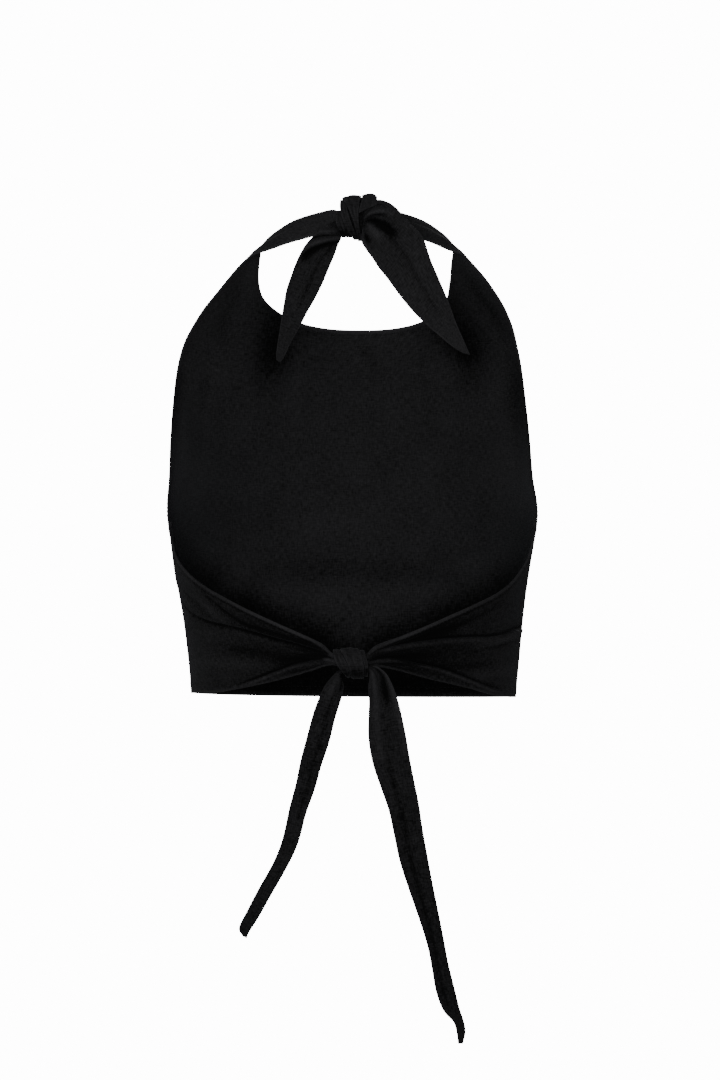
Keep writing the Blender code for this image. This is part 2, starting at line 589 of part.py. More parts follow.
def main():
    for old in list(bpy.data.objects):
        bpy.data.objects.remove(old, do_unlink=True)
    frame = bpy.data.objects.new("garment", None)
    frame.location = -NAPE * MM
    bpy.context.scene.collection.objects.link(frame)
    black = cloth_material("black_cloth", (0.012, 0.012, 0.014))
    tie_black = cloth_material("black_tie", (0.014, 0.014, 0.016))

    make_front(black, frame)
    for name, side, folds in (("wing_left", -1, LEFT_FOLDS), ("wing_right", 1, RIGHT_FOLDS)):
        sheets = [(wing(side, folds), WING_ALONG, WING_UP)]
        make_cloth(name, sheets, CLOTH, black, frame, lambda u, v: ease(0.6, 0.95, u))
    for name, spans, pleats, across, along in (
        ("neck_tail_left", NECK_TAIL_LEFT, NECK_PLEATS_LEFT, 8, 18),
        ("neck_tail_right", NECK_TAIL_RIGHT, NECK_PLEATS_RIGHT, 14, 18),
        ("waist_tail_left", WAIST_TAIL_LEFT, WAIST_PLEATS_LEFT, 4, 24),
        ("waist_tail_right", WAIST_TAIL_RIGHT, WAIST_PLEATS_RIGHT, 8, 32),
    ):
        sheets = [(ribbon(spans, pleats), across, along)]
        make_cloth(name, sheets, TIE, tie_black, frame, lambda u, v: 0.25 - ease(0.0, 0.2, v) / 4)
    for name, knot, turn in (
        ("waist_knot_wrap", WAIST_KNOT, WAIST_WRAP),
        ("waist_knot_cross", WAIST_KNOT, WAIST_CROSS),
        ("waist_knot_edge", WAIST_KNOT, WAIST_EDGE),
        ("neck_knot_collar", NECK_KNOT, NECK_COLLAR),
        ("neck_knot_turn_a", NECK_KNOT, NECK_TURN_A),
        ("neck_knot_turn_b", NECK_KNOT, NECK_TURN_B),
    ):
        surface = wrap(knot, turn, WRAP)
        make_cloth(name, [(surface, RING_ACROSS, RING_AROUND)], WRAP, tie_black, frame)
    make_cloth("neck_knot_cap", [(cap, 8, 10)], WRAP, tie_black, frame)
    waist_middle = WAIST_KNOT + Vector((0.5, 0.0, -1.0))
    neck_middle = NECK_KNOT + Vector((4.5, -2.0, 0.8))
    make_core("waist_knot_core", waist_middle, Vector((5.8, 6.5, 6.5)), tie_black, frame)
    make_core("neck_knot_core", neck_middle, Vector((7.5, 6.2, 8.8)), tie_black, frame)


main()
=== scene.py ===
import math
from collections import namedtuple

import bmesh
import bpy
from mathutils import Matrix, Vector, noise


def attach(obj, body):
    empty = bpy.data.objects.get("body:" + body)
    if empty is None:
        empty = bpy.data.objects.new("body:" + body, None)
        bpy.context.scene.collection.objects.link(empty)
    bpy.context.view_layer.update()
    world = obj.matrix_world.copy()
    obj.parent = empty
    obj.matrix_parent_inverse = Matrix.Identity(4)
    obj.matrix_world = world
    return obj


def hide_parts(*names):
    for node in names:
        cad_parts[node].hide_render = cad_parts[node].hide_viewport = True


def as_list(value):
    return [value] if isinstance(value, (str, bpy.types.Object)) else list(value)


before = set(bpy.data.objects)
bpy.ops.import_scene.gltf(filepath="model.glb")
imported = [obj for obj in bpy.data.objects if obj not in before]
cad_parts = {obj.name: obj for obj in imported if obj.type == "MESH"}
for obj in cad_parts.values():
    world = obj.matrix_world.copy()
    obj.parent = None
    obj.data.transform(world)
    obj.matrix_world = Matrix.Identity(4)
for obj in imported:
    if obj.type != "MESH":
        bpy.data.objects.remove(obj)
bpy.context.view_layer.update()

MM = 0.001

# ---------------------------------------------------------------- driving sizes, millimetres
NAPE = Vector((4.0, -54.0, 366.0))  # the row's origin in the working frame
WAIST_KNOT = Vector((0.0, -97.0, 25.4))
NECK_KNOT = Vector((0.0, -66.0, 362.3))
NECK_HEART = Vector((4.0, 0.0, 300.0))  # inside the neck: the straps stand off away from it

HEM_DIP = 3.6  # of its middle below its ends
HEM_DROP = 0.6  # of the whole hem, and how much lower it hangs at the right than at the left
HEM_TILT = 1.6
NECKLINE_BOTTOM, NECKLINE_HALF, NECKLINE_RISE = 284.1, 74.8, 37.0
NECKLINE_FLAT = 1.22  # above 1: flatter at the bottom than an ellipse
NECKLINE_MIDDLE, NECKLINE_SWAY = 1.0, 5.0  # its middle, and how much further right at the bottom
BIB_TOP = 250.0  # where the plain part ends and the part below the neckline begins
BIB_SHARE = 0.375  # half the bib's foot, as a share of the breadth
BIB_ANGLE = math.radians(50)  # how far round the neckline the bib comes
YOKE_TOP = 342.0
YOKE_LOW, YOKE_HIGH = 4 / 14, 0.72  # where the yoke leaves the bib, and the neckline's upright end
YOKE_BREADTH = 26.0  # at the shoulder
STRAP_CROWN = 2.4

WING_DEPTH = 85.0
WING_FIRST_TURN, WING_LAST_TURN = -2.0, 86.9  # degrees round the back
WING_ARC = 2.1  # the cloth's length round the back, for each degree
WING_LENGTH, WING_SEAM, WING_MOUTH = 190.0, 134.0, 62.0  # laid flat, at the seam and the knot
WING_PLEATS = 5.5  # fine pleats that gather a wing into the knot
PLEAT_RISE = 0.5
FULL_FOLD = 30.0  # a wing narrower than this has smaller folds
SEAM_TUCK = 2.0  # how far inside the front's side edge a wing's seam allowance lies

CLOTH_WALL = 0.8
TURNED_WALL = 1.5  # cloth folded over and stitched down
TIE_WALL, TIE_ROOT_WALL = 1.3, 1.7  # further on, and where it leaves its knot
WRAP_WALL = 1.9
PACKED_WALL = 3.8  # cloth gathered together where it enters a knot
HEM_TURN, ARM_TURN, WING_TURN = 9.0, 5.0, 3.5  # how deep each edge is turned
HEM_STITCH, ARM_STITCH = 7.6, 3.6  # how far its stitches lie from each edge
STITCH_LENGTH, STITCH_GAP = 2.5, 0.9
THREAD = 0.42  # how thick the thread is, and how wide one yarn of the weave

# How deep the shade on the front's inside is, and how far each kind of shade reaches
FRONT_SHADE = 0.11  # everywhere
SHADE_BEHIND = 1.25  # behind the wings
SHADE_ABOVE, SHADE_REACH = 1.1, 14.5  # along the wings' upper edges
CORNER_SHADE, CORNER_HEIGHT, CORNER_REACH = 0.30, 112.0, 20.0  # beside the side seams
TIE_SHADE, TIE_REACH = 0.85, 13.0  # behind the neck ties' points
FAR_SIZE = 0.972  # how large the front looks beside the wings, which are nearer

VIEW_CENTRE = Vector((5.4, 0.0, 119.4))
VIEW_DISTANCE = 6000.0
VIEW_HEIGHT = 837.0  # what the picture's height spans at the side seams
FLOOR_DROP, FLOOR_RADIUS = 0.75, 1.2  # metres
FRONT_WATTS, TOP_WATTS, LEFT_WATTS, RIGHT_WATTS, FAR_WATTS = 104.0, 9.0, 8.0, 4.0, 30.0
SKY_LIGHT, SKY_SEEN = 0.03, 14.0

# How finely each cloth is divided before it is smoothed once
SIDE_COLUMNS, MIDDLE_COLUMNS, LOW_ROWS = 28, 36, 52
BIB_ROWS, YOKE_ROWS, STRAP_ROWS = 10, 35, 40  # the yoke's first 4 of 14 parts lie beside the bib
WING_ALONG, WING_UP = 84, 56
RING_AROUND, RING_ACROSS = 56, 14
LINE_PARTS = 16  # short stretches that make up the line of a crease

# ---------------------------------------------------------------- tables
def table(kind, *rows):
    """Rows of numbers, each with the columns of its kind."""
    return tuple(kind(*row) for row in rows)


Section = namedtuple("Section", "height half lean front edge arc")
# Level sections of the front cloth. half: from its middle to its side edge; lean: how far the
# middle sits to the right; front and edge: how far forward the middle and the side edges are;
# arc: how far round its ellipse a side edge comes, in degrees.
SECTIONS = table(
    Section,
    (0, 125.2, 0.5, 92, -4, 90),
    (31, 128.3, 0.5, 95, -4, 90),
    (62, 131.8, 0, 100, -4, 90),
    (93, 136.7, -0.8, 109, -4, 90),
    (118, 140.7, -0.4, 118, -4, 90),
    (136, 143, -0.4, 121, -3, 90),
    (150, 143, -0.8, 120.5, 3, 87),
    (167, 141.2, -1.6, 118, 13, 82),
    (198, 139.8, -2.3, 110, 27, 74),
    (229, 137.3, -2.8, 99, 37, 68),
    (254, 134.3, -2.8, 88, 40, 65),
    (273, 129.8, -2.1, 79, 38, 63),
    (285, 125.1, -0.5, 73, 34, 62),
    (298, 118.2, 1, 65, 28, 63),
    (310, 110.5, 2.3, 56, 20, 65),
    (322, 100.7, 2.9, 48, 10, 68),
)

Edges = namedtuple("Edges", "step in_mid in_x in_y in_z out_mid out_x out_y out_z")
# The shoulder part of the front: its neck edge and its arm edge. mid: the place, right of the
# centre line, from which both sides' edges are measured.
SHOULDER = table(
    Edges,
    (298, 1, 66, 50, 298, 1.2, 116.1, 28, 298),
    (310, 1, 72, 41, 310, 2.4, 109.2, 19, 310),
    (322, 1, 74.3, 30, 322, 3.1, 100, 8, 322),
    (333, 1.6, 74.5, 19, 333, 3.1, 90, -5, 332.5),
    (342, 3, 74.6, 8, 343, 3.9, 81.4, -17, 340),
)
# The strap from there round the back of the neck: its neck edge and its lower edge.
STRAP = table(
    Edges,
    (0, 3, 74.6, 8, 343, 3.9, 81.4, -17, 340),
    (1, 3.6, 70.9, -8, 350.6, 4.4, 68.5, -32, 343.2),
    (2, 3.9, 64, -19, 356.8, 5.8, 56, -44, 347.5),
    (3, 4.2, 49.7, -34, 365.3, 6.8, 42, -55, 351.2),
    (4, 5, 30.5, -48, 371.1, 5, 27, -60.5, 354.9),
    (5, 4, 17.5, -60.4, 372.7, 4, 17.5, -64.6, 356.8),
    (5.5, 4, 15.2, -61.3, 369.2, 4, 15.2, -65, 357.9),
    (6, 4, 10.8, -61.8, 368.4, 4, 10.8, -65.5, 358.8),
)

Crease = namedtuple("Crease", "rise spread x0 z0 x1 z1 x2 z2")
# Soft creases of the front: forward of the cloth if rise is positive, and their line seen from
# behind. The first ten are the solid's own.
FRONT_CREASES = table(
    Crease,
    (3.6, 5.5, 84, 333, 104, 305, 119, 280),
    (2.4, 6, 119, 280, 127.5, 235, 130.5, 172),
    (-1.6, 4, -133, 228, -132.2, 197, -133.5, 165),
    (1.8, 5, -92, 326, -96.5, 300, -104, 277),
    (2.6, 11, -72, 303, -67, 265, -66, 222),
    (2, 12, 84, 296, 92, 262, 90, 225),
    (2.2, 9, -96, 92, 0, 101, 96, 90),
    (-1.8, 9, -134, 62, -104, 74, -78, 104),
    (-1.8, 9, 134, 58, 106, 70, 80, 106),
    (1.4, 4.5, 0, 273, 9, 262, 19, 250),
    (-0.9, 2.6, 80, 338, 97, 312, 112, 288),
    (0.9, 2.4, -134.5, 222, -134, 195, -135, 172),
    (0.8, 3.2, -110, 268, -118, 236, -120, 196),
    (-0.7, 5, -40, 262, -46, 236, -44, 206),
    (0.7, 5, 52, 270, 60, 240, 58, 214),
    (0.9, 5, -120, 128, -96, 112, -64, 110),
    (0.9, 5, 120, 126, 98, 110, 62, 108),
    (-0.8, 6, -62, 82, -44, 60, -38, 30),
    (-0.8, 6, 60, 80, 46, 58, 36, 28),
    (0.6, 4, -12, 70, -2, 44, -6, 12),
)

Rim = namedtuple("Rim", "turn top_left top_right foot_left foot_right lift")
# Upper and lower edges of a wing by how far round the back it has come, in degrees from the
# side seam; lift: how far the cloth stands off the back as it rises to the knot.
WING_RIMS = table(
    Rim,
    (0, 134, 134, 1, -2.2, 0),
    (4, 127, 126, 1, -2.2, 0),
    (8, 117.5, 116, 1.1, -2.1, 0),
    (12, 107.5, 105, 1.2, -2, 0),
    (18, 99.5, 96.5, 1.4, -1.7, 0),
    (25, 92, 88, 1.6, -1, 0),
    (34, 83.2, 79, 2.4, 0.9, 0),
    (45, 73.5, 70.5, 5, 5.5, 0),
    (55, 64.2, 62.5, 8.5, 9.5, 0.5),
    (65, 55.1, 53.8, 13, 14, 2),
    (75, 45.6, 45.2, 19, 20, 4.5),
    (80, 39.8, 41.2, 23, 22.5, 6.5),
    (83, 33, 38, 24.5, 23.3, 7.5),
    (85, 31.3, 33, 24, 23.5, 8),
    (86.9, 30.5, 31, 23.5, 23, 8),
)

Lines = namedtuple("Lines", "turn hem wedge valley")
# The lines that a wing's folds follow, by how far round it has come: the ridge along its turned
# hem, in millimetres above the lower edge, and as shares of its height the dip between the two
# ridges and the line of its main fold.
LEFT_LINES = table(
    Lines,
    (0, 0.8, 0.33, 0.770),
    (4, 0.8, 0.33, 0.740),
    (8.6, 0.8, 0.33, 0.700),
    (13, 0.8, 0.33, 0.664),
    (21, 0.9, 0.33, 0.650),
    (33, 1, 0.33, 0.670),
    (41, 1.2, 0.33, 0.695),
    (48, 2, 0.33, 0.712),
    (56, 3.8, 0.33, 0.728),
    (63, 5.6, 0.34, 0.725),
    (70, 6.8, 0.38, 0.725),
    (76.8, 5.8, 0.44, 0.705),
    (81, 4.2, 0.50, 0.700),
    (83.3, 2.6, 0.52, 0.720),
    (86.9, 2.2, 0.52, 0.730),
)
RIGHT_LINES = table(
    Lines,
    (0, 0.8, 0.30, 0.360),
    (5, 0.8, 0.30, 0.420),
    (9.5, 0.8, 0.30, 0.468),
    (18, 1.2, 0.31, 0.525),
    (28.5, 3.2, 0.33, 0.550),
    (39.5, 4.6, 0.35, 0.580),
    (46.5, 5.8, 0.36, 0.610),
    (53.5, 7.6, 0.37, 0.642),
    (62.5, 8.8, 0.385, 0.690),
    (69.3, 8, 0.40, 0.722),
    (74, 6.8, 0.42, 0.732),
    (79, 5.2, 0.44, 0.728),
    (84, 2.9, 0.48, 0.705),
    (86.9, 2.3, 0.50, 0.700),
)
# Where each of those lines falls across the grid of a wing, so that its faces follow them
WING_LANES = (0, 0.15, 0.39, 0.63, 0.68, 0.90, 1)
STEP = 1.3  # how tall the turned-over face of a main fold is

Wrinkle = namedtuple("Wrinkle", "rise spread a0 z0 a1 z1 a2 z2")
# Smaller wrinkles of the wings: outward if rise is positive, through three points given by the
# distance round the back from the side seam and the height.
LEFT_WRINKLES = table(
    Wrinkle,
    (-1.9, 1.2, 66, 79.5, 88, 64, 110, 54),
    (-2.4, 1.2, 104, 55.5, 134, 48.8, 168, 36.5),
    (0.8, 2.4, 58, 76, 80, 60, 96, 52),
    (-0.9, 2, 30, 84, 52, 70, 72, 62),
    (-1.3, 1.1, 138, 38.5, 158, 33.5, 176, 29.2),
    (-1.2, 1.2, 130, 27.5, 156, 28, 176, 27.6),
    (0.9, 1.2, 138, 31.5, 158, 30.5, 176, 28.4),
    (-0.8, 3, 70, 40, 104, 34, 138, 31),
    (0.7, 4, 40, 26, 84, 24, 128, 24),
    (-0.8, 2.2, 8, 44, 26, 52, 52, 54),
)
RIGHT_WRINKLES = table(
    Wrinkle,
    (-1, 1.2, 14, 44, 54, 41, 96, 33),
    (0.9, 1.6, 12, 47.5, 54, 44, 90, 37.5),
    (-0.9, 1.8, 62, 72, 98, 59, 130, 45),
    (-1.3, 1.2, 136, 23.5, 158, 25, 178, 26.3),
    (0.9, 1.3, 130, 28, 156, 27.5, 178, 27),
    (-0.9, 3, 70, 24, 104, 22, 134, 23),
    (0.7, 4, 30, 20, 70, 17, 104, 15),
)

Span = namedtuple("Span", "left_x left_z right_x right_z depth turn")
# Hanging ties by pairs of points on their two edges. depth: where the middle hangs; turn: how
# much further from the wearer the right edge is than the left.
NECK_TAIL_LEFT = table(
    Span,
    (-14.2, 364.2, -9.2, 351.2, -74.6, 0),
    (-19.6, 360, -10, 348.4, -77.6, 0),
    (-26.5, 355.5, -11.8, 343.6, -80.5, 2),
    (-33.5, 348.5, -14, 337, -83, 3),
    (-39.5, 340, -16.8, 330.5, -84, 3),
    (-44, 330.5, -19.9, 323, -85, 3),
    (-47.5, 321, -23.9, 313.5, -86, 2),
    (-50.8, 311, -29, 303.5, -86.5, 1),
    (-52.8, 300.5, -35, 293, -87, 0),
    (-54.8, 287.5, -41, 281.5, -87.5, -1),
    (-57, 273.5, -47.5, 270, -88, -1),
    (-58.5, 262, -53, 258.5, -88.5, 0),
    (-58.5, 257, -56, 255, -88.5, 0),
)
NECK_TAIL_RIGHT = table(
    Span,
    (7.6, 352.5, 8.4, 372.6, -76, -2),
    (6.4, 349.5, 16.4, 379.4, -77.6, -9),
    (7.2, 346, 24.8, 378.8, -80.8, -8.6),
    (9.7, 341.5, 32.6, 374, -84.6, -5),
    (14.9, 334.5, 39.4, 366.2, -85.5, -3),
    (19.8, 327, 46.9, 358.3, -86, -2),
    (26.3, 319, 53.9, 350, -86, -1),
    (35.8, 306, 59.6, 333.3, -86.5, 0),
    (45.3, 294.5, 65.8, 318.8, -87, 0),
    (55.3, 284.5, 72.7, 302.3, -87.5, 0),
    (66.5, 275, 78.5, 286, -88, 0),
    (75.5, 267.5, 84.5, 272, -88.5, 0),
    (84.5, 262, 89.5, 260.5, -89, 0),
)
WAIST_TAIL_LEFT = table(
    Span,
    (-9.6, 21.3, -7.2, 19.2, -99.3, 0),
    (-13, 18.4, -9.6, 16, -99.8, 0),
    (-16.7, 14.5, -7.6, 11.5, -101.6, 0),
    (-20.8, 9.5, -7, 6, -102.5, 0),
    (-24.9, 1.5, -9, -2.5, -102, 1),
    (-30, -11.5, -13.5, -17, -101, 2),
    (-35.1, -30, -17.8, -34.5, -100, 3),
    (-40, -48.5, -24, -53, -99, 3),
    (-43.7, -66.5, -29, -71, -98, 3),
    (-48.5, -85, -35.5, -89, -98, 4),
    (-52, -101.5, -39.7, -105.5, -98, 4),
    (-55.5, -114, -43.9, -117.5, -98, 4),
    (-61.8, -128.5, -51.2, -132, -98, 2),
    (-71.2, -145, -61.5, -150, -98, 0),
    (-80.9, -163.5, -71.6, -168, -98, 0),
    (-87, -176.2, -78.9, -179.4, -98, 0),
    (-83.9, -182.8, -81, -184.3, -98, 0),
)
WAIST_TAIL_RIGHT = table(
    Span,
    (9.5, 20.2, 9.8, 22.8, -99.9, 0),
    (12.9, 19.2, 13.9, 23.2, -100.6, 0),
    (12.8, 14.2, 19.2, 22.4, -102.4, 0),
    (11.9, 8.7, 24.8, 18.3, -103.8, 0),
    (11.8, 3, 28.5, 12.3, -104, 0),
    (12.2, -4.2, 32, 4, -103.5, -1),
    (11.8, -14.6, 35.7, -8, -103, -2),
    (11.7, -31.5, 40, -27.5, -102, -3),
    (14.8, -50, 43.3, -46, -101, -3),
    (20.7, -68, 46.6, -63, -100, -3),
    (27.1, -86.5, 50.3, -81, -99, -3),
    (31.5, -106.5, 53.3, -101, -98, -2),
    (35.7, -126, 57, -121.5, -98, 0),
    (42.7, -147.5, 61, -143, -98, 2),
    (50.4, -169.5, 65.7, -166, -98, 3),
    (56.7, -189.5, 69.7, -186.5, -98, 4),
    (60, -205.5, 72.7, -202.5, -98, 4),
    (63.4, -225, 77.5, -222, -98, 4),
    (69, -239.2, 81.3, -237.5, -98, 6),
    (76.9, -248, 83.6, -245, -98, 8),
    (79.4, -256, 85.6, -254.5, -98, 6),
    (80.5, -264.8, 83.8, -264.6, -98, 2),
)

Pleat = namedtuple("Pleat", "root share rise spread length reach")
# Pleats that start at a tie's knot and die out along it. root and share: their place across the
# tie from its left edge, at the knot and further on; rise: away from the wearer; spread: half
# their breadth; length and reach: as shares of the tie, where they end and come to their place.
NECK_PLEATS_LEFT = table(
    Pleat,
    (1.20, 0.18, -3.2, 0.13, 0.42, 0.36),
    (1.00, 0.00, 2, 0.08, 0.40, 0.36),
    (0.84, -0.10, -2.4, 0.05, 0.32, 0.30),
    (0.56, -0.10, 0.9, 0.10, 0.24, 0.24),
    (0.85, 0.62, -0.6, 0.06, 0.70, 0.50),
)
NECK_PLEATS_RIGHT = table(
    Pleat,
    (0.42, 0.67, -3.6, 0.078, 0.40, 0.45),
    (0.46, 0.15, -2.8, 0.070, 0.29, 0.15),
    (0.38, 0.30, -1.4, 0.16, 0.15, 0.30),
    (0.45, 0.37, 1.6, 0.070, 0.34, 0.22),
    (0.52, 0.76, -1.8, 0.032, 0.27, 0.28),
    (0.62, 0.86, 1.2, 0.045, 0.30, 0.30),
    (0.76, 0.94, -1.3, 0.030, 0.22, 0.22),
    (0.40, 0.03, 1, 0.060, 0.32, 0.20),
    (0.55, 0.52, -0.6, 0.060, 0.80, 0.50),
)
WAIST_PLEATS_LEFT = table(
    Pleat,
    (0.50, 0.45, 1, 0.20, 0.30, 0.30),
    (0.90, 0.80, -1.4, 0.12, 0.26, 0.30),
    (0.40, 0.62, -0.7, 0.10, 0.62, 0.30),
)
WAIST_PLEATS_RIGHT = table(
    Pleat,
    (0.95, 0.66, -3.4, 0.11, 0.30, 0.25),
    (1.05, 0.93, 1.5, 0.08, 0.40, 0.25),
    (0.35, 0.30, 1, 0.16, 0.44, 0.30),
    (0.25, 0.12, -0.8, 0.05, 0.26, 0.30),
    (0.60, 0.40, -0.7, 0.10, 0.90, 0.30),
)

Turn = namedtuple(
    "Turn", "top_l top_r mid_l mid_r foot_l foot_r deep high back up drop", defaults=(0, 0, 0)
)
# A tie's turn round a knot: its two edges over the top, half way and under the foot; its outer
# radii in depth and in height; how far its middle is moved back towards the wearer and up; drop:
# how much lower its left edge is over the top.
WAIST_WRAP = Turn(-10.2, 4.8, -4.3, 8.1, -1.6, 8.5, 11.5, 12.2)
WAIST_CROSS = Turn(-15.2, -10.5, -12.7, -4.6, -4.8, -1.9, 10.2, 11)
WAIST_EDGE = Turn(5.1, 8.6, 8.4, 11.2, 8.8, 11.4, 9.4, 10.4)
NECK_COLLAR = Turn(-12.4, -6.4, -13, -4.2, -9.4, 0.2, 9.8, 10.7, 2, -0.5)
NECK_TURN_A = Turn(-9.8, -5.7, -7.5, -2.2, 0.7, 3.6, 13.4, 15.6, 0, 2.5)
NECK_TURN_B = Turn(-8.4, 6.5, -0.9, 4.2, 3.9, 7, 15.6, 18.1, 0, 4.1, 1.7)

Cap = namedtuple("Cap", "share x high end")
# The smooth tie over the top of the neck knot: across it, its outer height above the knot's
# middle and the angle above level at which its front end is tucked in.
NECK_CAP = table(
    Cap,
    (0, 6.9, 21.6, 19),
    (0.25, 9.8, 22.4, 24),
    (0.5, 12.6, 22.9, 29),
    (0.75, 15.6, 22.6, 34),
    (1, 18.4, 20.3, 42),
)
CAP_SLANT = 2.3  # how far its left edge comes to the left on its way down
CAP_DEEP = 15.6
CAP_BACK_ANGLE = 150.0

Bead = namedtuple("Bead", "x deep high back up", defaults=(0, 0))
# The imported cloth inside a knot, along x: its half sizes, and how far back and up its middle is.
WAIST_BEADS = table(
    Bead,
    (-5.3, 4.5, 4.5),
    (-4.9, 6, 6),
    (-4, 7.4, 7.2),
    (-1.5, 8.7, 8.4),
    (0.5, 9, 8.9),
    (2.5, 9, 9),
    (5, 8, 8.4),
    (6, 6, 6.4),
    (6.3, 4, 4),
)
NECK_BEADS = table(
    Bead,
    (-5.9, 4.5, 5, 0.5, 7.5),
    (-5.2, 6, 8, 0.5, 6.2),
    (-4.4, 6.6, 10.2, 0.5, 4.4),
    (-3.4, 8.2, 11.6, 0.4, 3.6),
    (-2, 9.4, 12.2, 0.2, 3.2),
    (0.4, 10.4, 12.4, 0, 3.3),
    (2, 10.8, 13.9, 0, 3),
    (3.2, 10.8, 14.8, 0, 3.3),
    (4.8, 10.6, 15.4, 0, 3.8),
    (6.2, 9.8, 15.5, 0, 4.4),
    (7.4, 8.8, 15.3, 0.2, 4.6),
    (10.5, 7, 11.6, 1.2, 3),
    (12.4, 4, 6.6, 1.5, 1),
    (13, 1.5, 2, 1.5, 0.5),
)

# ---------------------------------------------------------------- curves and surfaces
def placed(point):
    """A place in the garment's frame, taken to the row's frame."""
    return (point - NAPE) * MM


def mix(a, b, share):
    return a + (b - a) * share


def ease(low, high, value):
    """0 below low, 1 above high, and a smooth step between them."""
    share = min(1.0, max(0.0, (value - low) / (high - low)))
    return share * share * (3.0 - 2.0 * share)


def hump(gap, spread):
    """1 on a line, falling smoothly to nothing beside it."""
    return math.exp(-((gap / spread) ** 2))


def inward(u, reach):
    """0 at both edges of a cloth that u crosses, 1 beyond a reach from them."""
    return ease(0.0, reach, min(u, 1.0 - u))


def ripple(x, z, size, seed):
    """The small unevenness that worn cloth never loses, -1 to 1."""
    return noise.noise(Vector((x / size, z / size, seed)))


def read(rows, column, at):
    """A column's value at a place along the rows' first column, on a smooth curve."""
    steps = [row[0] for row in rows]
    return smooth(steps, [getattr(row, column) for row in rows], at)


def smooth(steps, values, at):
    """The value at a place between the steps, on a smooth curve through all the values."""
    at = min(max(at, steps[0]), steps[-1])
    i = max(k for k in range(len(steps) - 1) if steps[k] <= at)
    gap = steps[i + 1] - steps[i]
    slopes = []
    for k in (i, i + 1):
        low, high = max(k - 1, 0), min(k + 1, len(steps) - 1)
        slopes.append((values[high] - values[low]) / (steps[high] - steps[low]))
    t = (at - steps[i]) / gap
    return (
        values[i] * (1 + 2 * t) * (1 - t) ** 2
        + slopes[0] * gap * t * (1 - t) ** 2
        + values[i + 1] * t * t * (3 - 2 * t)
        + slopes[1] * gap * t * t * (t - 1)
    )


def soft_line(first, middle, last):
    """Points on a smooth line bent towards its middle one, each with its place along it."""
    line = []
    for k in range(LINE_PARTS + 1):
        t = k / LINE_PARTS
        near, half_way, far = (1 - t) ** 2, 2 * t * (1 - t), t * t
        x = near * first[0] + half_way * middle[0] + far * last[0]
        z = near * first[1] + half_way * middle[1] + far * last[1]
        line.append((x, z, t))
    return line


def soft_lines(creases):
    """Each crease with its line and the box that it can reach."""
    lines = []
    for crease in creases:
        line = soft_line(crease[2:4], crease[4:6], crease[6:8])
        reach = 3 * crease.spread
        xs, zs = [p[0] for p in line], [p[1] for p in line]
        box = (min(xs) - reach, max(xs) + reach, min(zs) - reach, max(zs) + reach)
        lines.append((crease, line, box))
    return lines


def nearest_on(line, x, z):
    """Distance to a line of short stretches, and how far along it the nearest point is."""
    best, along = 1e9, 0.0
    for (ax, az, at), (bx, bz, bt) in zip(line, line[1:]):
        dx, dz = bx - ax, bz - az
        share = ((x - ax) * dx + (z - az) * dz) / (dx * dx + dz * dz)
        share = min(1.0, max(0.0, share))
        gap = math.hypot(x - ax - dx * share, z - az - dz * share)
        if gap < best:
            best, along = gap, mix(at, bt, share)
    return best, along


def creased(lines, x, z):
    """How far a set of soft creases pushes the cloth at a place."""
    total = 0.0
    for crease, line, (low_x, high_x, low_z, high_z) in lines:
        if low_x < x < high_x and low_z < z < high_z:
            gap, along = nearest_on(line, x, z)
            fade = 0.35 + 0.65 * math.sin(math.pi * along)
            total += crease.rise * fade * hump(gap, crease.spread)
    return total


FRONT_LINES = soft_lines(FRONT_CREASES)
LEFT_WRINKLE_LINES = soft_lines(LEFT_WRINKLES)
RIGHT_WRINKLE_LINES = soft_lines(RIGHT_WRINKLES)


def crease_push(x, z):
    """How far the soft creases push the front cloth forward."""
    uneven = 0.35 * ripple(x, z, 26.0, 3.1) + 0.12 * ripple(x, z * 0.6, 9.0, 7.7)
    return uneven + creased(FRONT_LINES, x, z)


def front_x(share, height):
    """How far right the front cloth is at a share of its breadth, -1 to 1, and a height."""
    arc = math.radians(read(SECTIONS, "arc", height))
    reach = math.sin(share * arc) / math.sin(arc)
    return read(SECTIONS, "lean", height) + read(SECTIONS, "half", height) * reach


def front_point(share, height):
    """The front cloth at a share of its breadth and a height."""
    arc = math.radians(read(SECTIONS, "arc", height))
    edge = read(SECTIONS, "edge", height)
    forward = read(SECTIONS, "front", height) - edge
    bend = (math.cos(share * arc) - math.cos(arc)) / (1.0 - math.cos(arc))
    x = front_x(share, height)
    calm = ease(0.0, 0.06, 1.0 - abs(share))
    return Vector((x, edge + forward * bend + calm * crease_push(x, height), height))


def share_at(x, height):
    """The share of the front's breadth at a place seen from behind."""
    arc = math.radians(read(SECTIONS, "arc", height))
    reach = (x - read(SECTIONS, "lean", height)) / read(SECTIONS, "half", height)
    return math.asin(max(-1.0, min(1.0, reach * math.sin(arc)))) / arc


def neckline(theta):
    """Share of the breadth and height of the neckline at an angle round its lower part."""
    height = NECKLINE_BOTTOM + NECKLINE_RISE * (1.0 - math.cos(theta)) ** NECKLINE_FLAT
    middle = NECKLINE_MIDDLE + NECKLINE_SWAY * math.cos(theta)
    return share_at(middle + NECKLINE_HALF * math.sin(theta), height), height


def crowned(inner, outer, u):
    """A point across a strap whose middle stands off its two edges."""
    across = (outer - inner).normalized()
    away = (inner + outer) / 2 - NECK_HEART
    away = (away - across * away.dot(across)).normalized()
    return inner.lerp(outer, u) + away * STRAP_CROWN * math.sin(u * math.pi)


def edge_points(rows, side, step):
    """The neck edge and the outer edge of a shoulder or strap, at a step along it."""
    at = Edges(step, *(read(rows, column, step) for column in Edges._fields[1:]))
    inner = Vector((at.in_mid + side * at.in_x, at.in_y, at.in_z))
    outer = Vector((at.out_mid + side * at.out_x, at.out_y, at.out_z))
    return inner, outer


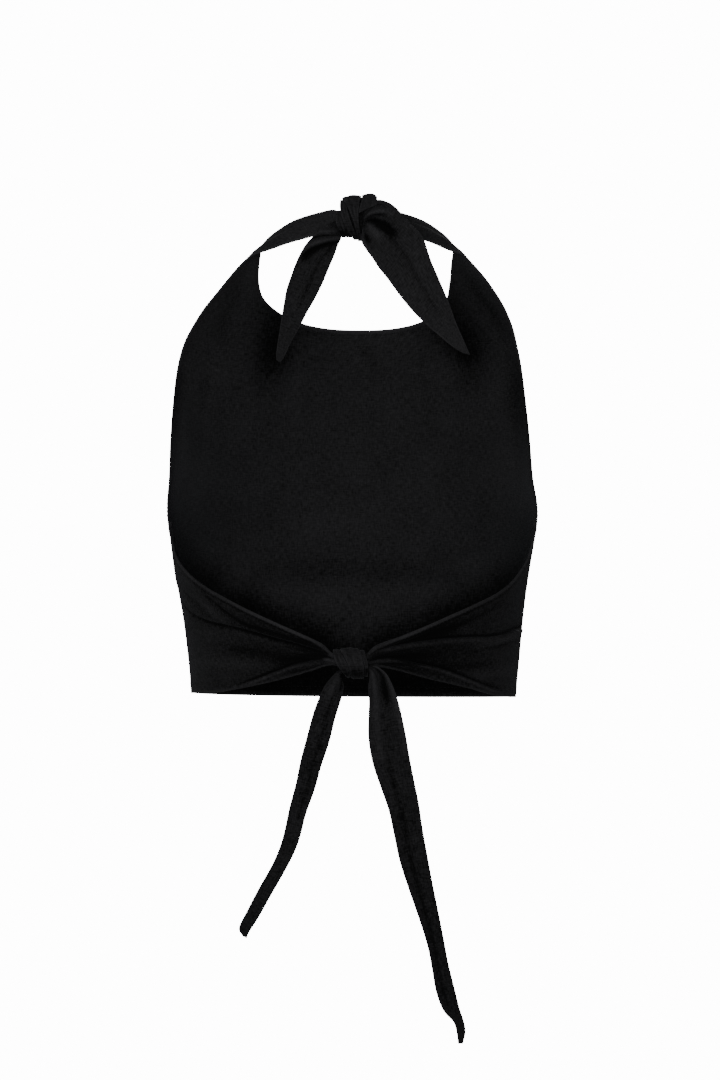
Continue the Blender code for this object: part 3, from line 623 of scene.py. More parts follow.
def front_low(first, last):
    """The front from the hem to the bib's foot, between two shares of its breadth."""

    def surface(u, v):
        share = mix(first, last, u)
        point = front_point(share, BIB_TOP * v)
        drop = HEM_DIP * math.cos(share * math.pi / 2) + HEM_DROP + HEM_TILT * share
        point.z -= drop * (1.0 - ease(0.0, 0.3, v))
        return point

    return surface


def bib(u, v):
    """The front between the plain part and the bottom of the neckline."""
    top_share, top_height = neckline(mix(-BIB_ANGLE, BIB_ANGLE, u))
    foot_share = mix(-BIB_SHARE, BIB_SHARE, u)
    return front_point(mix(foot_share, top_share, v), mix(BIB_TOP, top_height, v))


def yoke_place(side, u, v):
    """Share and height of the front beside the bib and the neckline."""
    if v <= YOKE_LOW:
        share, height = neckline(side * BIB_ANGLE)
        share = mix(side * BIB_SHARE, share, v / YOKE_LOW)
        height = mix(BIB_TOP, height, v / YOKE_LOW)
    else:
        round_it = min(1.0, (v - YOKE_LOW) / (YOKE_HIGH - YOKE_LOW))
        share, height = neckline(side * mix(BIB_ANGLE, math.pi / 2, round_it))
        height += max(0.0, v - YOKE_HIGH) / (1 - YOKE_HIGH) * (YOKE_TOP - height)
    return mix(share, side, u), mix(height, mix(BIB_TOP, YOKE_TOP, v), u)


def yoke(side):
    """The front beside the bib and the neckline, u from there to the arm edge."""

    def surface(u, v):
        share, height = yoke_place(side, u, v)
        body = front_point(share, min(height, SECTIONS[-1].height))
        if height < SHOULDER[0].step:
            return body
        shoulder = crowned(*edge_points(SHOULDER, side, height), u)
        calm = inward(u, 0.1) * ease(0.0, 12.0, YOKE_TOP - height)
        shoulder.y += calm * crease_push(shoulder.x, height)
        return body.lerp(shoulder, ease(SHOULDER[0].step, SHOULDER[0].step + 20.0, height))

    return surface


def strap(side):
    """A strap from the top of the yoke to the neck knot, creased along its length."""

    def surface(u, v):
        inner, outer = edge_points(STRAP, side, v * STRAP[-1].step)
        point = crowned(inner, outer, u)
        away = (point - NECK_HEART).normalized()
        calm = inward(u, 0.12) * ease(0.0, 0.15, v)
        lines = -0.8 * hump(u - mix(0.30, 0.42, v), 0.07) + 0.6 * hump(u - mix(0.55, 0.62, v), 0.10)
        lines -= 0.6 * hump(u - mix(0.82, 0.72, v), 0.06) * ease(0.3, 0.7, v)
        return point + away * calm * lines * mix(0.5, 1.0, v)

    return surface


def wing_rims(side, u):
    """How far round a wing is at u, in degrees, and its lower and upper heights there."""
    word = "left" if side < 0 else "right"
    turn = mix(WING_FIRST_TURN, WING_LAST_TURN, 1.0 - (1.0 - u) ** 1.25)
    return turn, read(WING_RIMS, "foot_" + word, turn), read(WING_RIMS, "top_" + word, turn)


def fold_size(tall):
    """How large the folds are where a wing is this tall, up to 1."""
    return min(1.0, tall / FULL_FOLD)


def wing_lines(side, turn, tall):
    """A wing's hem ridge, dip, main fold and stitch line, in millimetres above its lower edge,
    and how tall the face of its main fold is."""
    rows = LEFT_LINES if side < 0 else RIGHT_LINES
    small = fold_size(tall)
    hem = min(read(rows, "hem", turn), 0.34 * tall)
    wedge, valley = read(rows, "wedge", turn) * tall, read(rows, "valley", turn) * tall
    return hem, wedge, valley, tall - (WING_TURN - 0.2) * small, STEP * small


def wing_height(side, u, v):
    """The turn, height above the lower edge and height of a wing at a place in its grid."""
    turn, low, top = wing_rims(side, u)
    tall = top - low
    hem, wedge, valley, stitch, step = wing_lines(side, turn, tall)
    heights = (0.0, hem, wedge, valley, valley + step, stitch, tall)
    k = max(i for i in range(len(WING_LANES) - 1) if WING_LANES[i] <= v or i == 0)
    share = (v - WING_LANES[k]) / (WING_LANES[k + 1] - WING_LANES[k])
    return turn, low, mix(heights[k], heights[k + 1], share), tall


def left_folds(turn, up, tall):
    """The left wing's fold, whose upper cloth lies over the lower: how far it stands out, and the
    painted light and shade that it puts on the cloth."""
    hem, wedge, valley, stitch, step = wing_lines(-1, turn, tall)
    strength = ease(1.0, 9.0, turn) * (1.0 - 0.8 * ease(76.0, 85.0, turn)) * fold_size(tall)
    over, groove, ridge = mix(1.6, 2.6, ease(10, 45, turn)), 2.4, ease(30.0, 60.0, turn)
    gap = up - valley
    if gap > step:
        rise = over * math.exp(-(gap - step) / (0.18 * tall))
        painted_fold_light = -0.2 * math.exp(-(gap - step) / 3.0)
    elif gap > 0:
        rise = mix(-groove, over, ease(0.0, step, gap))
        painted_fold_light = mix(-1.0, -0.2, ease(0.0, step, gap))
    else:
        rise = -groove * math.exp(gap / 1.6) + 1.5 * ridge * hump(gap + 3.6, 2.2)
        painted_fold_light = -math.exp(gap / 1.8) + 0.4 * ridge * hump(gap + 4.2, 2.0)
    return rise * strength, painted_fold_light * ease(1.0, 9.0, turn)


def right_folds(turn, up, tall):
    """The right wing's fold, a ridge with the cloth above tucked in behind it, likewise."""
    hem, wedge, valley, stitch, step = wing_lines(1, turn, tall)
    small = fold_size(tall)
    strength = ease(1.0, 12.0, turn) * (1.0 - 0.8 * ease(76.0, 85.0, turn)) * small
    gap = up - valley
    rise = -1.9 * hump(gap - 0.7, 0.9)
    painted_fold_light = -hump(gap - 0.9, 1.0) + mix(0.25, 0.6, ease(25, 60, turn)) * hump(gap + 1.8, 1.6)
    if gap < 0:
        rise += 2.2 * hump(gap + 1.8, 1.7) + 1.2 * math.exp(gap / 9.0) * ease(0.0, 2.0, -gap)
    between = (stitch - valley) / 2
    tuck = ease(48.0, 66.0, turn) * small
    rise -= 2.8 * tuck * hump(gap - between, 0.62 * between)
    painted_fold_light -= 1.1 * tuck * hump(gap - between, 0.62 * between)
    return rise * strength, painted_fold_light * ease(1.0, 12.0, turn)


def wing_folds(side, wrinkles, turn, up, tall, height):
    """How far a wing's folds push its cloth outward, and the painted light and shade that they put
    on the cloth.
    """
    hem, wedge, valley, stitch, step = wing_lines(side, turn, tall)
    small = fold_size(tall)
    rise, painted_fold_light = (left_folds if side < 0 else right_folds)(turn, up, tall)
    start = 40.0 if side < 0 else 20.0
    shown = ease(start, start + 16.0, turn)
    thin = mix(0.5, 1.0, small)
    ridge, dip = hump(up - hem, thin), hump(up - hem - 2.1 * thin, 1.3 * thin)
    rise += shown * small * (1.2 * ridge - 1.3 * dip)
    painted_fold_light += shown * (0.8 * ridge - 0.9 * dip)
    near = ease(52.0, 80.0, turn) * (1.0 - 0.5 * ease(82.0, 86.0, turn))
    under = near * hump(up - wedge, 0.12 * tall) * (0.7 if side < 0 else 1.0)
    rise -= 3.2 * small * under + 0.45 * small * hump(up - stitch, 0.7)
    painted_fold_light -= 1.2 * under + 0.7 * hump(up - stitch, 0.9)
    calm = ease(0.0, 8.0, turn) * (1.0 - 0.6 * ease(82.0, 86.0, turn))
    small_creases = creased(wrinkles, turn * WING_ARC, height)
    rise += calm * small_creases
    painted_fold_light += 0.45 * small_creases
    wave = math.sin(2 * math.pi * (WING_PLEATS * up / tall + 0.4 * turn / 90.0))
    gathered = ease(62.0, 78.0, turn)
    rise += PLEAT_RISE * gathered * min(1.0, tall / 22.0) * wave
    return rise, painted_fold_light + 0.3 * gathered * wave


def wing(side, wrinkles):
    """A back wing: u from its side seam to the waist knot, v from its lower edge up."""

    def surface(u, v):
        turn, low, up, tall = wing_height(side, u, v)
        height = low + up
        half = read(SECTIONS, "half", height)
        seam = read(SECTIONS, "edge", height)
        lift = read(WING_RIMS, "lift", turn) + wing_folds(side, wrinkles, turn, up, tall, height)[0]
        lift += 0.4 * ripple(turn * WING_ARC, height, 24.0, side * 5.3) * ease(0.0, 8.0, turn)
        lift -= SEAM_TUCK * (1.0 - ease(0.4, 1.7, turn))
        angle = math.radians(turn)
        x = read(SECTIONS, "lean", height) * (1 - u) + side * half * math.cos(angle)
        base = Vector((x, seam - WING_DEPTH * math.sin(angle), height))
        out = Vector((side * math.cos(angle), -math.sin(angle) * half / WING_DEPTH, 0.0))
        return base + out.normalized() * lift

    return surface


def pleat_push(pleats, u, v, width):
    """How far a tie's pleats stand out."""
    total = 0.0
    for pleat in pleats:
        strength = 1.0 - ease(pleat.length - 0.10, pleat.length, v)
        line = mix(pleat.root, pleat.share, ease(0.0, pleat.reach, v))
        spread = pleat.spread * mix(0.6, 1.0, ease(0.0, 0.26, v))
        total += pleat.rise * strength * hump(u - line, spread)
    return total * ease(0.0, 0.05, v) * min(1.0, width / 16.0) ** 2


def ribbon(spans, pleats, seed):
    """A hanging tie between its two edges, with the pleats that come from its knot."""
    steps = list(range(len(spans)))
    columns = {name: [getattr(span, name) for span in spans] for name in Span._fields}

    def surface(u, v):
        at = v * steps[-1]
        value = {name: smooth(steps, column, at) for name, column in columns.items()}
        left = Vector((value["left_x"], value["depth"] + value["turn"] / 2, value["left_z"]))
        right = Vector((value["right_x"], value["depth"] - value["turn"] / 2, value["right_z"]))
        point = left.lerp(right, u)
        width = (right - left).length
        calm = ease(0.0, 0.1, v)
        point.y -= pleat_push(pleats, u, v, width)
        point.y -= calm * (0.9 * ripple(u * width, at * 16, 17.0, seed))
        point.y -= calm * 0.5 * math.sin(u * math.pi) * min(1.0, width / 12.0)
        return point

    return surface


def wrap_groove(u, s):
    """The two lengthwise folds of a tie that goes round a knot."""
    return hump(u - mix(0.36, 0.30, s), 0.09) + 0.7 * hump(u - mix(0.68, 0.74, s), 0.07)


def wrap(knot, turn, seed, lap):
    """A closed turn of a folded tie round a knot, at the middle of its wall. lap: how far its
    left edge reaches over its neighbour where it shows."""

    def edge(side, s):
        top, mid, foot = (getattr(turn, part + side) for part in ("top_", "mid_", "foot_"))
        return mid + (top - foot) / 2 * s + ((top + foot) / 2 - mid) * s * s

    def surface(u, v):
        angle = v * 2 * math.pi
        s = math.sin(angle)
        left, right = edge("l", s) - lap * ease(0.35, 0.8, math.cos(angle)), edge("r", s)
        width = right - left
        swell = -0.07 * width * (2.0 * u - 1.0) ** 2 - WRAP_WALL / 2
        swell -= min(0.4, 0.06 * width) * wrap_groove(u, s)
        swell -= turn.drop * (1.0 - u) ** 2 * ease(0.0, 1.0, s)
        swell += 0.15 * ripple(u * width * 2, s * 9 + math.cos(angle) * 7, 5.0, seed)
        y = turn.back - (turn.deep + swell) * math.cos(angle)
        x = mix(left, right, u)
        return knot + Vector((x, y, turn.up + (turn.high + swell) * s))

    return surface


def cap_folds(u, v):
    """How deep the folds of the cap are, in millimetres."""
    start = 1.0 - ease(0.12, 0.42, v)
    return 0.8 * hump(u - 0.16, 0.06) * start + 0.5 * hump(u - 0.62, 0.06) * start


def cap(u, v):
    """The smooth tie over the top of the neck knot, v from its tucked front end over."""
    angle = math.radians(mix(read(NECK_CAP, "end", u), CAP_BACK_ANGLE, v))
    fold = cap_folds(u, v) + 0.2 * ripple(u * 26, v * 30, 8.0, 2.2)
    high = read(NECK_CAP, "high", u) - WRAP_WALL / 2 - fold
    deep = CAP_DEEP - WRAP_WALL / 2 - fold
    x = read(NECK_CAP, "x", u)
    x -= CAP_SLANT * (1.0 - ease(0.4, 0.95, math.sin(angle))) * (1.0 - ease(0.0, 1.0, u))
    return NECK_KNOT + Vector((x, -deep * math.cos(angle), high * math.sin(angle)))


# ---------------------------------------------------------------- cloth finishes
# The cloth's colour runs between these two blacks: the lighter one gives light slubs, worn edges
# and painted highlights, the deeper one dark slubs and the painted shade.
DEEP_BLACK = (0.0010, 0.0010, 0.0011, 1.0)
LIGHTEST_BLACK = (0.0402, 0.0395, 0.0426, 1.0)
SHEEN_GREY = (0.62, 0.64, 0.70, 1.0)
THREAD_BLACKS = {"A": (0.006, 0.006, 0.0065, 1.0), "B": (0.016, 0.016, 0.018, 1.0)}
FLOOR_GREY = (0.86, 0.86, 0.86, 1.0)


class Out:
    """The output of a material's node, which can be used in sums."""

    def __init__(self, finish, socket):
        self.finish, self.socket = finish, socket

    def __add__(self, other):
        return self.finish.math("ADD", self, other)

    def __radd__(self, other):
        return self.finish.math("ADD", other, self)

    def __sub__(self, other):
        return self.finish.math("SUBTRACT", self, other)

    def __rsub__(self, other):
        return self.finish.math("SUBTRACT", other, self)

    def __mul__(self, other):
        return self.finish.math("MULTIPLY", self, other)

    def __rmul__(self, other):
        return self.finish.math("MULTIPLY", other, self)


class Finish:
    """A material on its way, with its Principled shader."""

    def __init__(self, name):
        self.material = bpy.data.materials.new(name)
        self.material.use_nodes = True
        self.tree = self.material.node_tree
        self.shader = self.tree.nodes["Principled BSDF"]

    def node(self, kind, settings, sockets, output=0):
        made = self.tree.nodes.new(kind)
        for key, value in settings.items():
            setattr(made, key, value)
        for key, value in sockets.items():
            self.put(made.inputs[key], value)
        return Out(self, made.outputs[output])

    def put(self, socket, value):
        if isinstance(value, Out):
            self.tree.links.new(value.socket, socket)
        else:
            socket.default_value = value

    def set(self, **values):
        for name, value in values.items():
            self.put(self.shader.inputs[name.replace("_", " ")], value)

    def math(self, operation, *values):
        return self.node("ShaderNodeMath", {"operation": operation}, dict(enumerate(values)))


def woven_black(name, roughness, sheen, shade_share=1.0):
    """Plain black weave with uneven yarns, dull; lighter where edges are worn and painted with
    highlights, painted light and shade along folds, and darker by a share of the painted shade."""
    cloth = Finish(name)
    cut = cloth.node("ShaderNodeUVMap", {"uv_map": "cut"}, {})
    flat = cloth.node("ShaderNodeMapping", {}, {"Vector": cut, "Scale": (1000.0, 1000.0, 1.0)})
    axes = cloth.tree.nodes.new("ShaderNodeSeparateXYZ")
    cloth.tree.links.new(flat.socket, axes.inputs[0])
    across, along = Out(cloth, axes.outputs["X"]), Out(cloth, axes.outputs["Y"])
    turns = math.pi / THREAD
    warp, weft = cloth.math("SINE", across * turns), cloth.math("SINE", along * turns)
    over = cloth.math("GREATER_THAN", warp * weft, 0.0)
    weave = cloth.math("ABSOLUTE", warp) * over + cloth.math("ABSOLUTE", weft) * (1 - over)

    def yarn(stretch):
        """Unevenness along one way of the yarns."""
        place = cloth.node("ShaderNodeMapping", {}, {"Vector": flat, "Scale": stretch})
        return cloth.node(
            "ShaderNodeTexNoise", {},
            {"Vector": place, "Scale": 1.0, "Detail": 2.0, "Roughness": 0.6},
        )

    slub = yarn((1.1, 0.22, 1.0)) * 0.5 + yarn((0.22, 1.1, 1.0)) * 0.5
    cloud = cloth.node(
        "ShaderNodeTexNoise", {}, {"Vector": flat, "Scale": 0.035, "Detail": 3.0, "Roughness": 0.55}
    )
    # The first attribute carries wear along edges together with painted highlights, painted fold
    # shade and painted light on the front's inner side walls; the second is painted shade.
    wear_and_painted_light = cloth.node("ShaderNodeAttribute", {"attribute_name": "wear_and_painted_light"}, {}, output=2)
    shade = cloth.node("ShaderNodeAttribute", {"attribute_name": "shade"}, {}, output=2)
    lightness = (slub - 0.5) * 1.7 + (cloud - 0.5) * 0.3 + wear_and_painted_light * 0.40 + 0.46
    lightness -= shade * (0.40 * shade_share)
    lightness = cloth.node("ShaderNodeClamp", {}, {"Value": lightness})
    colour = cloth.node(
        "ShaderNodeMix", {"data_type": "RGBA"},
        {"Factor": lightness, "A": DEEP_BLACK, "B": LIGHTEST_BLACK}, output=2,
    )
    relief = weave * 0.5 + (slub - 0.5) * 1.3
    bump = cloth.node(
        "ShaderNodeBump", {}, {"Height": relief, "Distance": 0.00012, "Strength": 0.8}
    )
    cloth.set(
        Base_Color=colour,
        Roughness=roughness - (slub - 0.5) * 0.25,
        Normal=bump,
        Sheen_Weight=sheen,
        Sheen_Roughness=0.4,
        Sheen_Tint=SHEEN_GREY,
        Specular_IOR_Level=0.1,
    )
    return cloth.material


def thread_black(name):
    """Twisted sewing thread, a little glossier than the cloth."""
    thread = Finish(name)
    place = thread.node("ShaderNodeTexCoord", {}, {}, output=3)
    twist = thread.node(
        "ShaderNodeTexWave", {"wave_type": "BANDS", "bands_direction": "DIAGONAL"},
        {"Vector": place, "Scale": 900.0, "Distortion": 0.5},
    )
    bump = thread.node(
        "ShaderNodeBump", {}, {"Height": twist, "Distance": 0.00006, "Strength": 0.6}
    )
    colour = thread.node(
        "ShaderNodeMix", {"data_type": "RGBA"},
        {"Factor": twist, **THREAD_BLACKS}, output=2,
    )
    thread.set(Base_Color=colour, Roughness=0.6 + twist * 0.1, Normal=bump, Specular_IOR_Level=0.2)
    return thread.material


# ---------------------------------------------------------------- making the cloths
def turned_wall(distance, depth):
    """Wall of a cloth at a distance from an edge that is turned to a depth and stitched."""
    wall = mix(TURNED_WALL, CLOTH_WALL, ease(depth - 0.9, depth + 0.9, distance))
    return wall - 0.35 * hump(distance - (depth - 1.6), 0.8)


def no_shade(u, v):
    return 0.0


def as_object(name, shape):
    """Puts a shape into the scene as an object."""
    mesh = bpy.data.meshes.new(name)
    shape.to_mesh(mesh)
    shape.free()
    piece = bpy.data.objects.new(name, mesh)
    bpy.context.scene.collection.objects.link(piece)
    return piece


def layer(layers, name):
    return layers.get(name) or layers.new(name)


def add_sheet(shape, surface, across, along, flat, wall, wear_and_painted_light, shade=no_shade):
    """Adds a grid of faces bent into a surface. The four functions after along give the place in
    the flat cut in metres, the wall in millimetres, and from 0 to 1 the wear together with painted
    highlights and painted fold shade, and how deep in painted shade the cloth is, for each (u, v)."""
    weights = shape.verts.layers.deform.verify()
    wear_and_light_layer, dark = layer(shape.verts.layers.float, "wear_and_painted_light"), layer(shape.verts.layers.float, "shade")
    cut = layer(shape.loops.layers.uv, "cut")
    grid = bmesh.ops.create_grid(shape, x_segments=across, y_segments=along, size=0.5)
    for vert in grid["verts"]:
        u = min(1.0, max(0.0, vert.co.x + 0.5))
        v = min(1.0, max(0.0, vert.co.y + 0.5))
        for loop in vert.link_loops:
            loop[cut].uv = flat(u, v)
        vert[weights][0] = wall(u, v) / PACKED_WALL
        vert[wear_and_light_layer] = wear_and_painted_light(u, v)
        vert[dark] = shade(u, v)
        vert.co = placed(surface(u, v))


def finish_cloth(name, shape, finish, thickness=PACKED_WALL, inside=None):
    """Welds the sheets, gives them their wall, smooths them once and ties them to the body.
    inside: the finish of the face towards the wearer, where it differs."""
    bmesh.ops.remove_doubles(shape, verts=shape.verts, dist=0.01 * MM)
    bmesh.ops.recalc_face_normals(shape, faces=shape.faces)
    piece = as_object(name, shape)
    mesh = piece.data
    mesh.shade_smooth()
    outward = max(mesh.polygons, key=lambda face: face.center.y).normal.y > 0.0
    for face_finish in (finish,) if inside is None else (finish, inside)[:: 1 if outward else -1]:
        mesh.materials.append(face_finish)
    if thickness:
        piece.vertex_groups.new(name="wall")
        solid = piece.modifiers.new("wall", "SOLIDIFY")
        solid.thickness = thickness * MM
        solid.vertex_group = "wall"
        solid.thickness_vertex_group = 0.0
        solid.offset = 0.0
        solid.use_even_offset = False
        solid.material_offset = 0 if inside is None else 1
    fine = piece.modifiers.new("smooth", "SUBSURF")
    fine.levels = fine.render_levels = 1
    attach(piece, "root")
    return piece


def girth(height):
    """Half the front's breadth round its curve at a height, roughly."""
    height = min(height, SECTIONS[-1].height)
    half = read(SECTIONS, "half", height)
    forward = read(SECTIONS, "front", height) - read(SECTIONS, "edge", height)
    return math.pi / 2 * math.sqrt((half * half + forward * forward) / 2) * 0.98


GIRTHS = [girth(height * 10.0) for height in range(33)]


def girth_at(height):
    """The same from the list of girths, at any height."""
    place = min(max(height / 10.0, 0.0), 31.999)
    return mix(GIRTHS[int(place)], GIRTHS[int(place) + 1], place - int(place))


def flat_front(share, height):
    """Where a place of the front lies in its flat cut, in metres."""
    return 0.5 + share * girth_at(height) * MM, 0.05 + height * MM


def front_walls(share, height):
    """Wall of the front's plain part: turned at its hem, and at the arm edges above the wings."""
    side = (1.0 - abs(share)) * girth_at(height)
    armed = mix(CLOTH_WALL, turned_wall(side, ARM_TURN), ease(120.0, 136.0, height))
    return max(turned_wall(height, HEM_TURN), armed)


def wing_skyline():
    """The wings' upper edges as the back shows them, from left to right."""
    line = []
    for side, word in ((-1, "left"), (1, "right")):
        rims = WING_RIMS if side < 0 else tuple(reversed(WING_RIMS))
        for rim in rims:
            top = getattr(rim, "top_" + word)
            out = side * read(SECTIONS, "half", top) * math.cos(math.radians(rim.turn))
            line.append((out, top))
    return [(x, z, k) for k, (x, z) in enumerate(line)]


SKYLINE = wing_skyline()
# Where the neck ties' points hang close before the front's inside and shade it.
TIE_SHADES = (
    ((-51.0, 296.0, 0), (-58.0, 262.0, 1)),
    ((66.0, 294.0, 0), (87.0, 268.0, 1)),
)


def front_shade(share, height):
    """How deep the shade is on the inside of the front, just above the wings and behind them."""
    x = FAR_SIZE * front_x(share, min(height, SECTIONS[-1].height))
    x = max(SKYLINE[0][0], min(SKYLINE[-1][0], x))
    z = mix(VIEW_CENTRE.z, height, FAR_SIZE)
    k = max(i for i in range(len(SKYLINE) - 1) if SKYLINE[i][0] <= x)
    (ax, az, _), (bx, bz, _) = SKYLINE[k:k + 2]
    if z < mix(az, bz, (x - ax) / (bx - ax)):
        return SHADE_BEHIND
    ties = max(hump(nearest_on(line, x, height)[0], TIE_REACH) for line in TIE_SHADES)
    above = SHADE_ABOVE * hump(nearest_on(SKYLINE, x, z)[0], SHADE_REACH)
    corner = CORNER_SHADE * ease(0.7, 0.9, abs(share)) * hump(height - CORNER_HEIGHT, CORNER_REACH)
    return FRONT_SHADE + TIE_SHADE * ties + above + corner


def front_wear_and_light(share, height, edge):
    """Wear and painted light of the front: lighter at its edges with wear and painted highlights,
    painted shade in the creases seen from inside, and painted light on its inner side walls.
    """
    x = front_x(share, min(height, SECTIONS[-1].height))
    # Painted light on the inner side walls around the middle heights, and painted shade along their
    # very edges.
    side_wall = 0.65 * ease(0.5, 0.85, abs(share)) * hump(height - 155.0, 40.0)
    side_wall -= 0.6 * ease(0.88, 1.0, abs(share)) * ease(110.0, 150.0, height)
    # Painted shade where a crease sinks away seen from inside, and painted light where it rises.
    deep = max(-0.6, min(0.6, creased(FRONT_LINES, x, height) / 6.0))
    return 1.0 - ease(0.0, 2.5, edge) - deep + side_wall * (1.0 - ease(235.0, 275.0, height))


def make_front(finish, inside):
    """The front cloth with its two straps, all cut in one."""
    shape = bmesh.new()

    def add(surface, across, along, place, edge, wall=None, lit=no_shade):
        """One part of it: place gives its share of the breadth and its height, edge how far its
        nearest edge is, and lit how much of the shade it is without, at each (u, v)."""
        add_sheet(
            shape, surface, across, along,
            lambda u, v: flat_front(*place(u, v)),
            wall or (lambda u, v: turned_wall(edge(u, v), ARM_TURN)),
            lambda u, v: front_wear_and_light(*place(u, v), edge(u, v)),
            lambda u, v: front_shade(*place(u, v)) * (1.0 - lit(u, v)),
        )

    def add_low(first, last, across):
        def place(u, v):
            return mix(first, last, u), v * BIB_TOP

        add(
            front_low(first, last), across, LOW_ROWS, place, lambda u, v: v * BIB_TOP,
            lambda u, v: front_walls(*place(u, v)),
        )

    add_low(-BIB_SHARE, BIB_SHARE, MIDDLE_COLUMNS)
    tall = NECKLINE_BOTTOM - BIB_TOP
    add(
        bib, MIDDLE_COLUMNS, BIB_ROWS,
        lambda u, v: (mix(-BIB_SHARE, BIB_SHARE, u), BIB_TOP + v * tall),
        lambda u, v: (1 - v) * tall,
    )
    for side in (-1, 1):
        add_low(side * BIB_SHARE, side, SIDE_COLUMNS)

        def yoke_edge(u, v):
            breadth = mix(girth_at(BIB_TOP) * (1 - BIB_SHARE), YOKE_BREADTH, ease(0.0, 1.0, v))
            inner = u * breadth + 40.0 * (1 - ease(YOKE_LOW - 0.1, YOKE_LOW, v))
            return min(inner, (1 - u) * breadth)

        add(
            yoke(side), SIDE_COLUMNS, YOKE_ROWS, lambda u, v: yoke_place(side, u, v), yoke_edge,
            lit=lambda u, v: ease(0.5, 1.0, v),
        )
        add_sheet(
            shape, strap(side), SIDE_COLUMNS, STRAP_ROWS,
            lambda u, v: (0.5 + side * (0.09 + 0.02 * u), 0.392 + 0.13 * v),
            lambda u, v: mix(TURNED_WALL, TIE_ROOT_WALL, ease(0.3, 0.9, v)),
            # Lighter at its edges: wear together with a painted highlight.
            lambda u, v: 1.0 - inward(u, 0.12),
        )
    return finish_cloth("front_cloth", shape, finish, inside=inside)


def make_wing(name, side, wrinkles, finish):
    """A back wing's cloth, packed together where it enters the waist knot."""
    shape = bmesh.new()

    def wall(u, v):
        turn, low, up, tall = wing_height(side, u, v)
        turned = max(turned_wall(tall - up, WING_TURN), turned_wall(up, HEM_TURN))
        return mix(turned, PACKED_WALL, ease(0.78, 0.97, u))

    def flat(u, v):
        turn, low, up, tall = wing_height(side, u, v)
        across = (up / tall - 0.5) * mix(WING_SEAM, WING_MOUTH, u)
        return 0.5 + u * WING_LENGTH * MM, 0.3 + across * MM

    # Lighter along the lower edge and the top edge, wear together with painted highlights, plus the
    # folds' painted light and shade.
    def wear_and_painted_light(u, v):
        turn, low, up, tall = wing_height(side, u, v)
        edge = 0.6 * (1.0 - ease(0.0, min(3.0, 0.1 * tall), up))
        edge += mix(0.6, 1.5, ease(30.0, 70.0, turn)) * (1.0 - ease(2.0, 3.4, tall - up))
        painted_fold_light = wing_folds(side, wrinkles, turn, up, tall, low + up)[1]
        return max(-1.0, min(1.0, painted_fold_light)) + edge

    # Painted shade, deeper towards the waist knot and a little less on the left wing.
    def shade(u, v):
        turn = wing_rims(side, u)[0]
        return mix(0.37, 1.0, ease(8.0, 74.0, turn)) * (1.0 if side > 0 else 0.88)

    add_sheet(shape, wing(side, wrinkles), WING_ALONG, WING_UP, flat, wall, wear_and_painted_light, shade)
    return finish_cloth(name, shape, finish)


def make_tail(name, spans, pleats, shades, across, along, width, length, finish):
    """A hanging tie. shades: how deep its painted shade is at its knot, at two places further on
    and its end, with more painted shade right at the knot.
    """
    shape = bmesh.new()

    def wall(u, v):
        plain = mix(TIE_ROOT_WALL, TIE_WALL, ease(0.0, 0.2, v))
        return plain - 0.3 * hump(min(u, 1 - u) - 0.12, 0.03)

    # Lighter at its edges and more so near its end, wear together with painted highlights; painted
    # shade in its pleats' hollows and painted light on their ridges.
    def wear_and_painted_light(u, v):
        edge = (0.3 + 0.4 * ease(0.7, 0.9, v)) * (1.0 - inward(u, 0.08))
        return max(-1.3, min(0.7, pleat_push(pleats, u, v, 20.0) / 1.7)) + edge

    add_sheet(
        shape, ribbon(spans, pleats, length * 90), across, along,
        lambda u, v: (0.5 + u * width, 0.2 + v * length), wall, wear_and_painted_light,
        lambda u, v: 0.4 * (1.0 - ease(0.0, 0.10, v)) + smooth((0.0, 0.3, 0.6, 1.0), shades, v),
    )
    return finish_cloth(name, shape, finish)


def make_band(name, surface, folds, under, cut, finish, across=RING_ACROSS, along=RING_AROUND):
    """A stretch of tie round a knot. folds(u, v) is how deep its folds are, painted as shade, under
    how deep the painted shade under its foot is, and cut its width and length."""
    shape = bmesh.new()
    add_sheet(
        shape, surface, across, along,
        lambda u, v: (0.5 + u * cut[0], 0.2 + v * cut[1]),
        lambda u, v: WRAP_WALL - 0.5 * (1.0 - inward(u, 0.16)),
        # Lighter at its edges, wear together with painted highlights, and painted shade along its
        # folds.
        lambda u, v: 0.4 * (1.0 - inward(u, 0.2)) - 0.4 * folds(u, v),
        lambda u, v: 0.05 + 1.25 * ease(-0.1, 1.0, -math.sin(v * 2 * math.pi)) * under,
    )
    return finish_cloth(name, shape, finish)


def make_core(name, knot, beads, finish):
    """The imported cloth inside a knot: puckered, along x, by its rows of beads."""
    shape = bmesh.new()
    cut = shape.loops.layers.uv.new("cut")
    dark = shape.verts.layers.float.new("shade")
    ball = bmesh.ops.create_uvsphere(shape, u_segments=32, v_segments=28, radius=1.0)
    bmesh.ops.rotate(shape, verts=ball["verts"], matrix=Matrix.Rotation(math.pi / 2, 3, "Y"))
    for vert in ball["verts"]:
        along = 0.5 + math.asin(max(-1.0, min(1.0, vert.co.x))) / math.pi
        x = mix(beads[0].x, beads[-1].x, along)
        around = math.atan2(vert.co.z, vert.co.y)
        pucker = 1.0 - 0.03 * (1 + math.sin(9 * around + 0.5 * x))
        thick = 0.0 if along < 0.001 or along > 0.999 else pucker
        deep, high = read(beads, "deep", x) * thick, read(beads, "high", x) * thick
        y = read(beads, "back", x) + deep * math.cos(around)
        vert.co = placed(knot + Vector((x, y, read(beads, "up", x) + high * math.sin(around))))
        # Painted shade over the whole core.
        vert[dark] = 0.9
        for loop in vert.link_loops:
            loop[cut].uv = (0.5 + x * MM, 0.5 + around * high * MM)
    return finish_cloth(name, shape, finish, thickness=0.0)


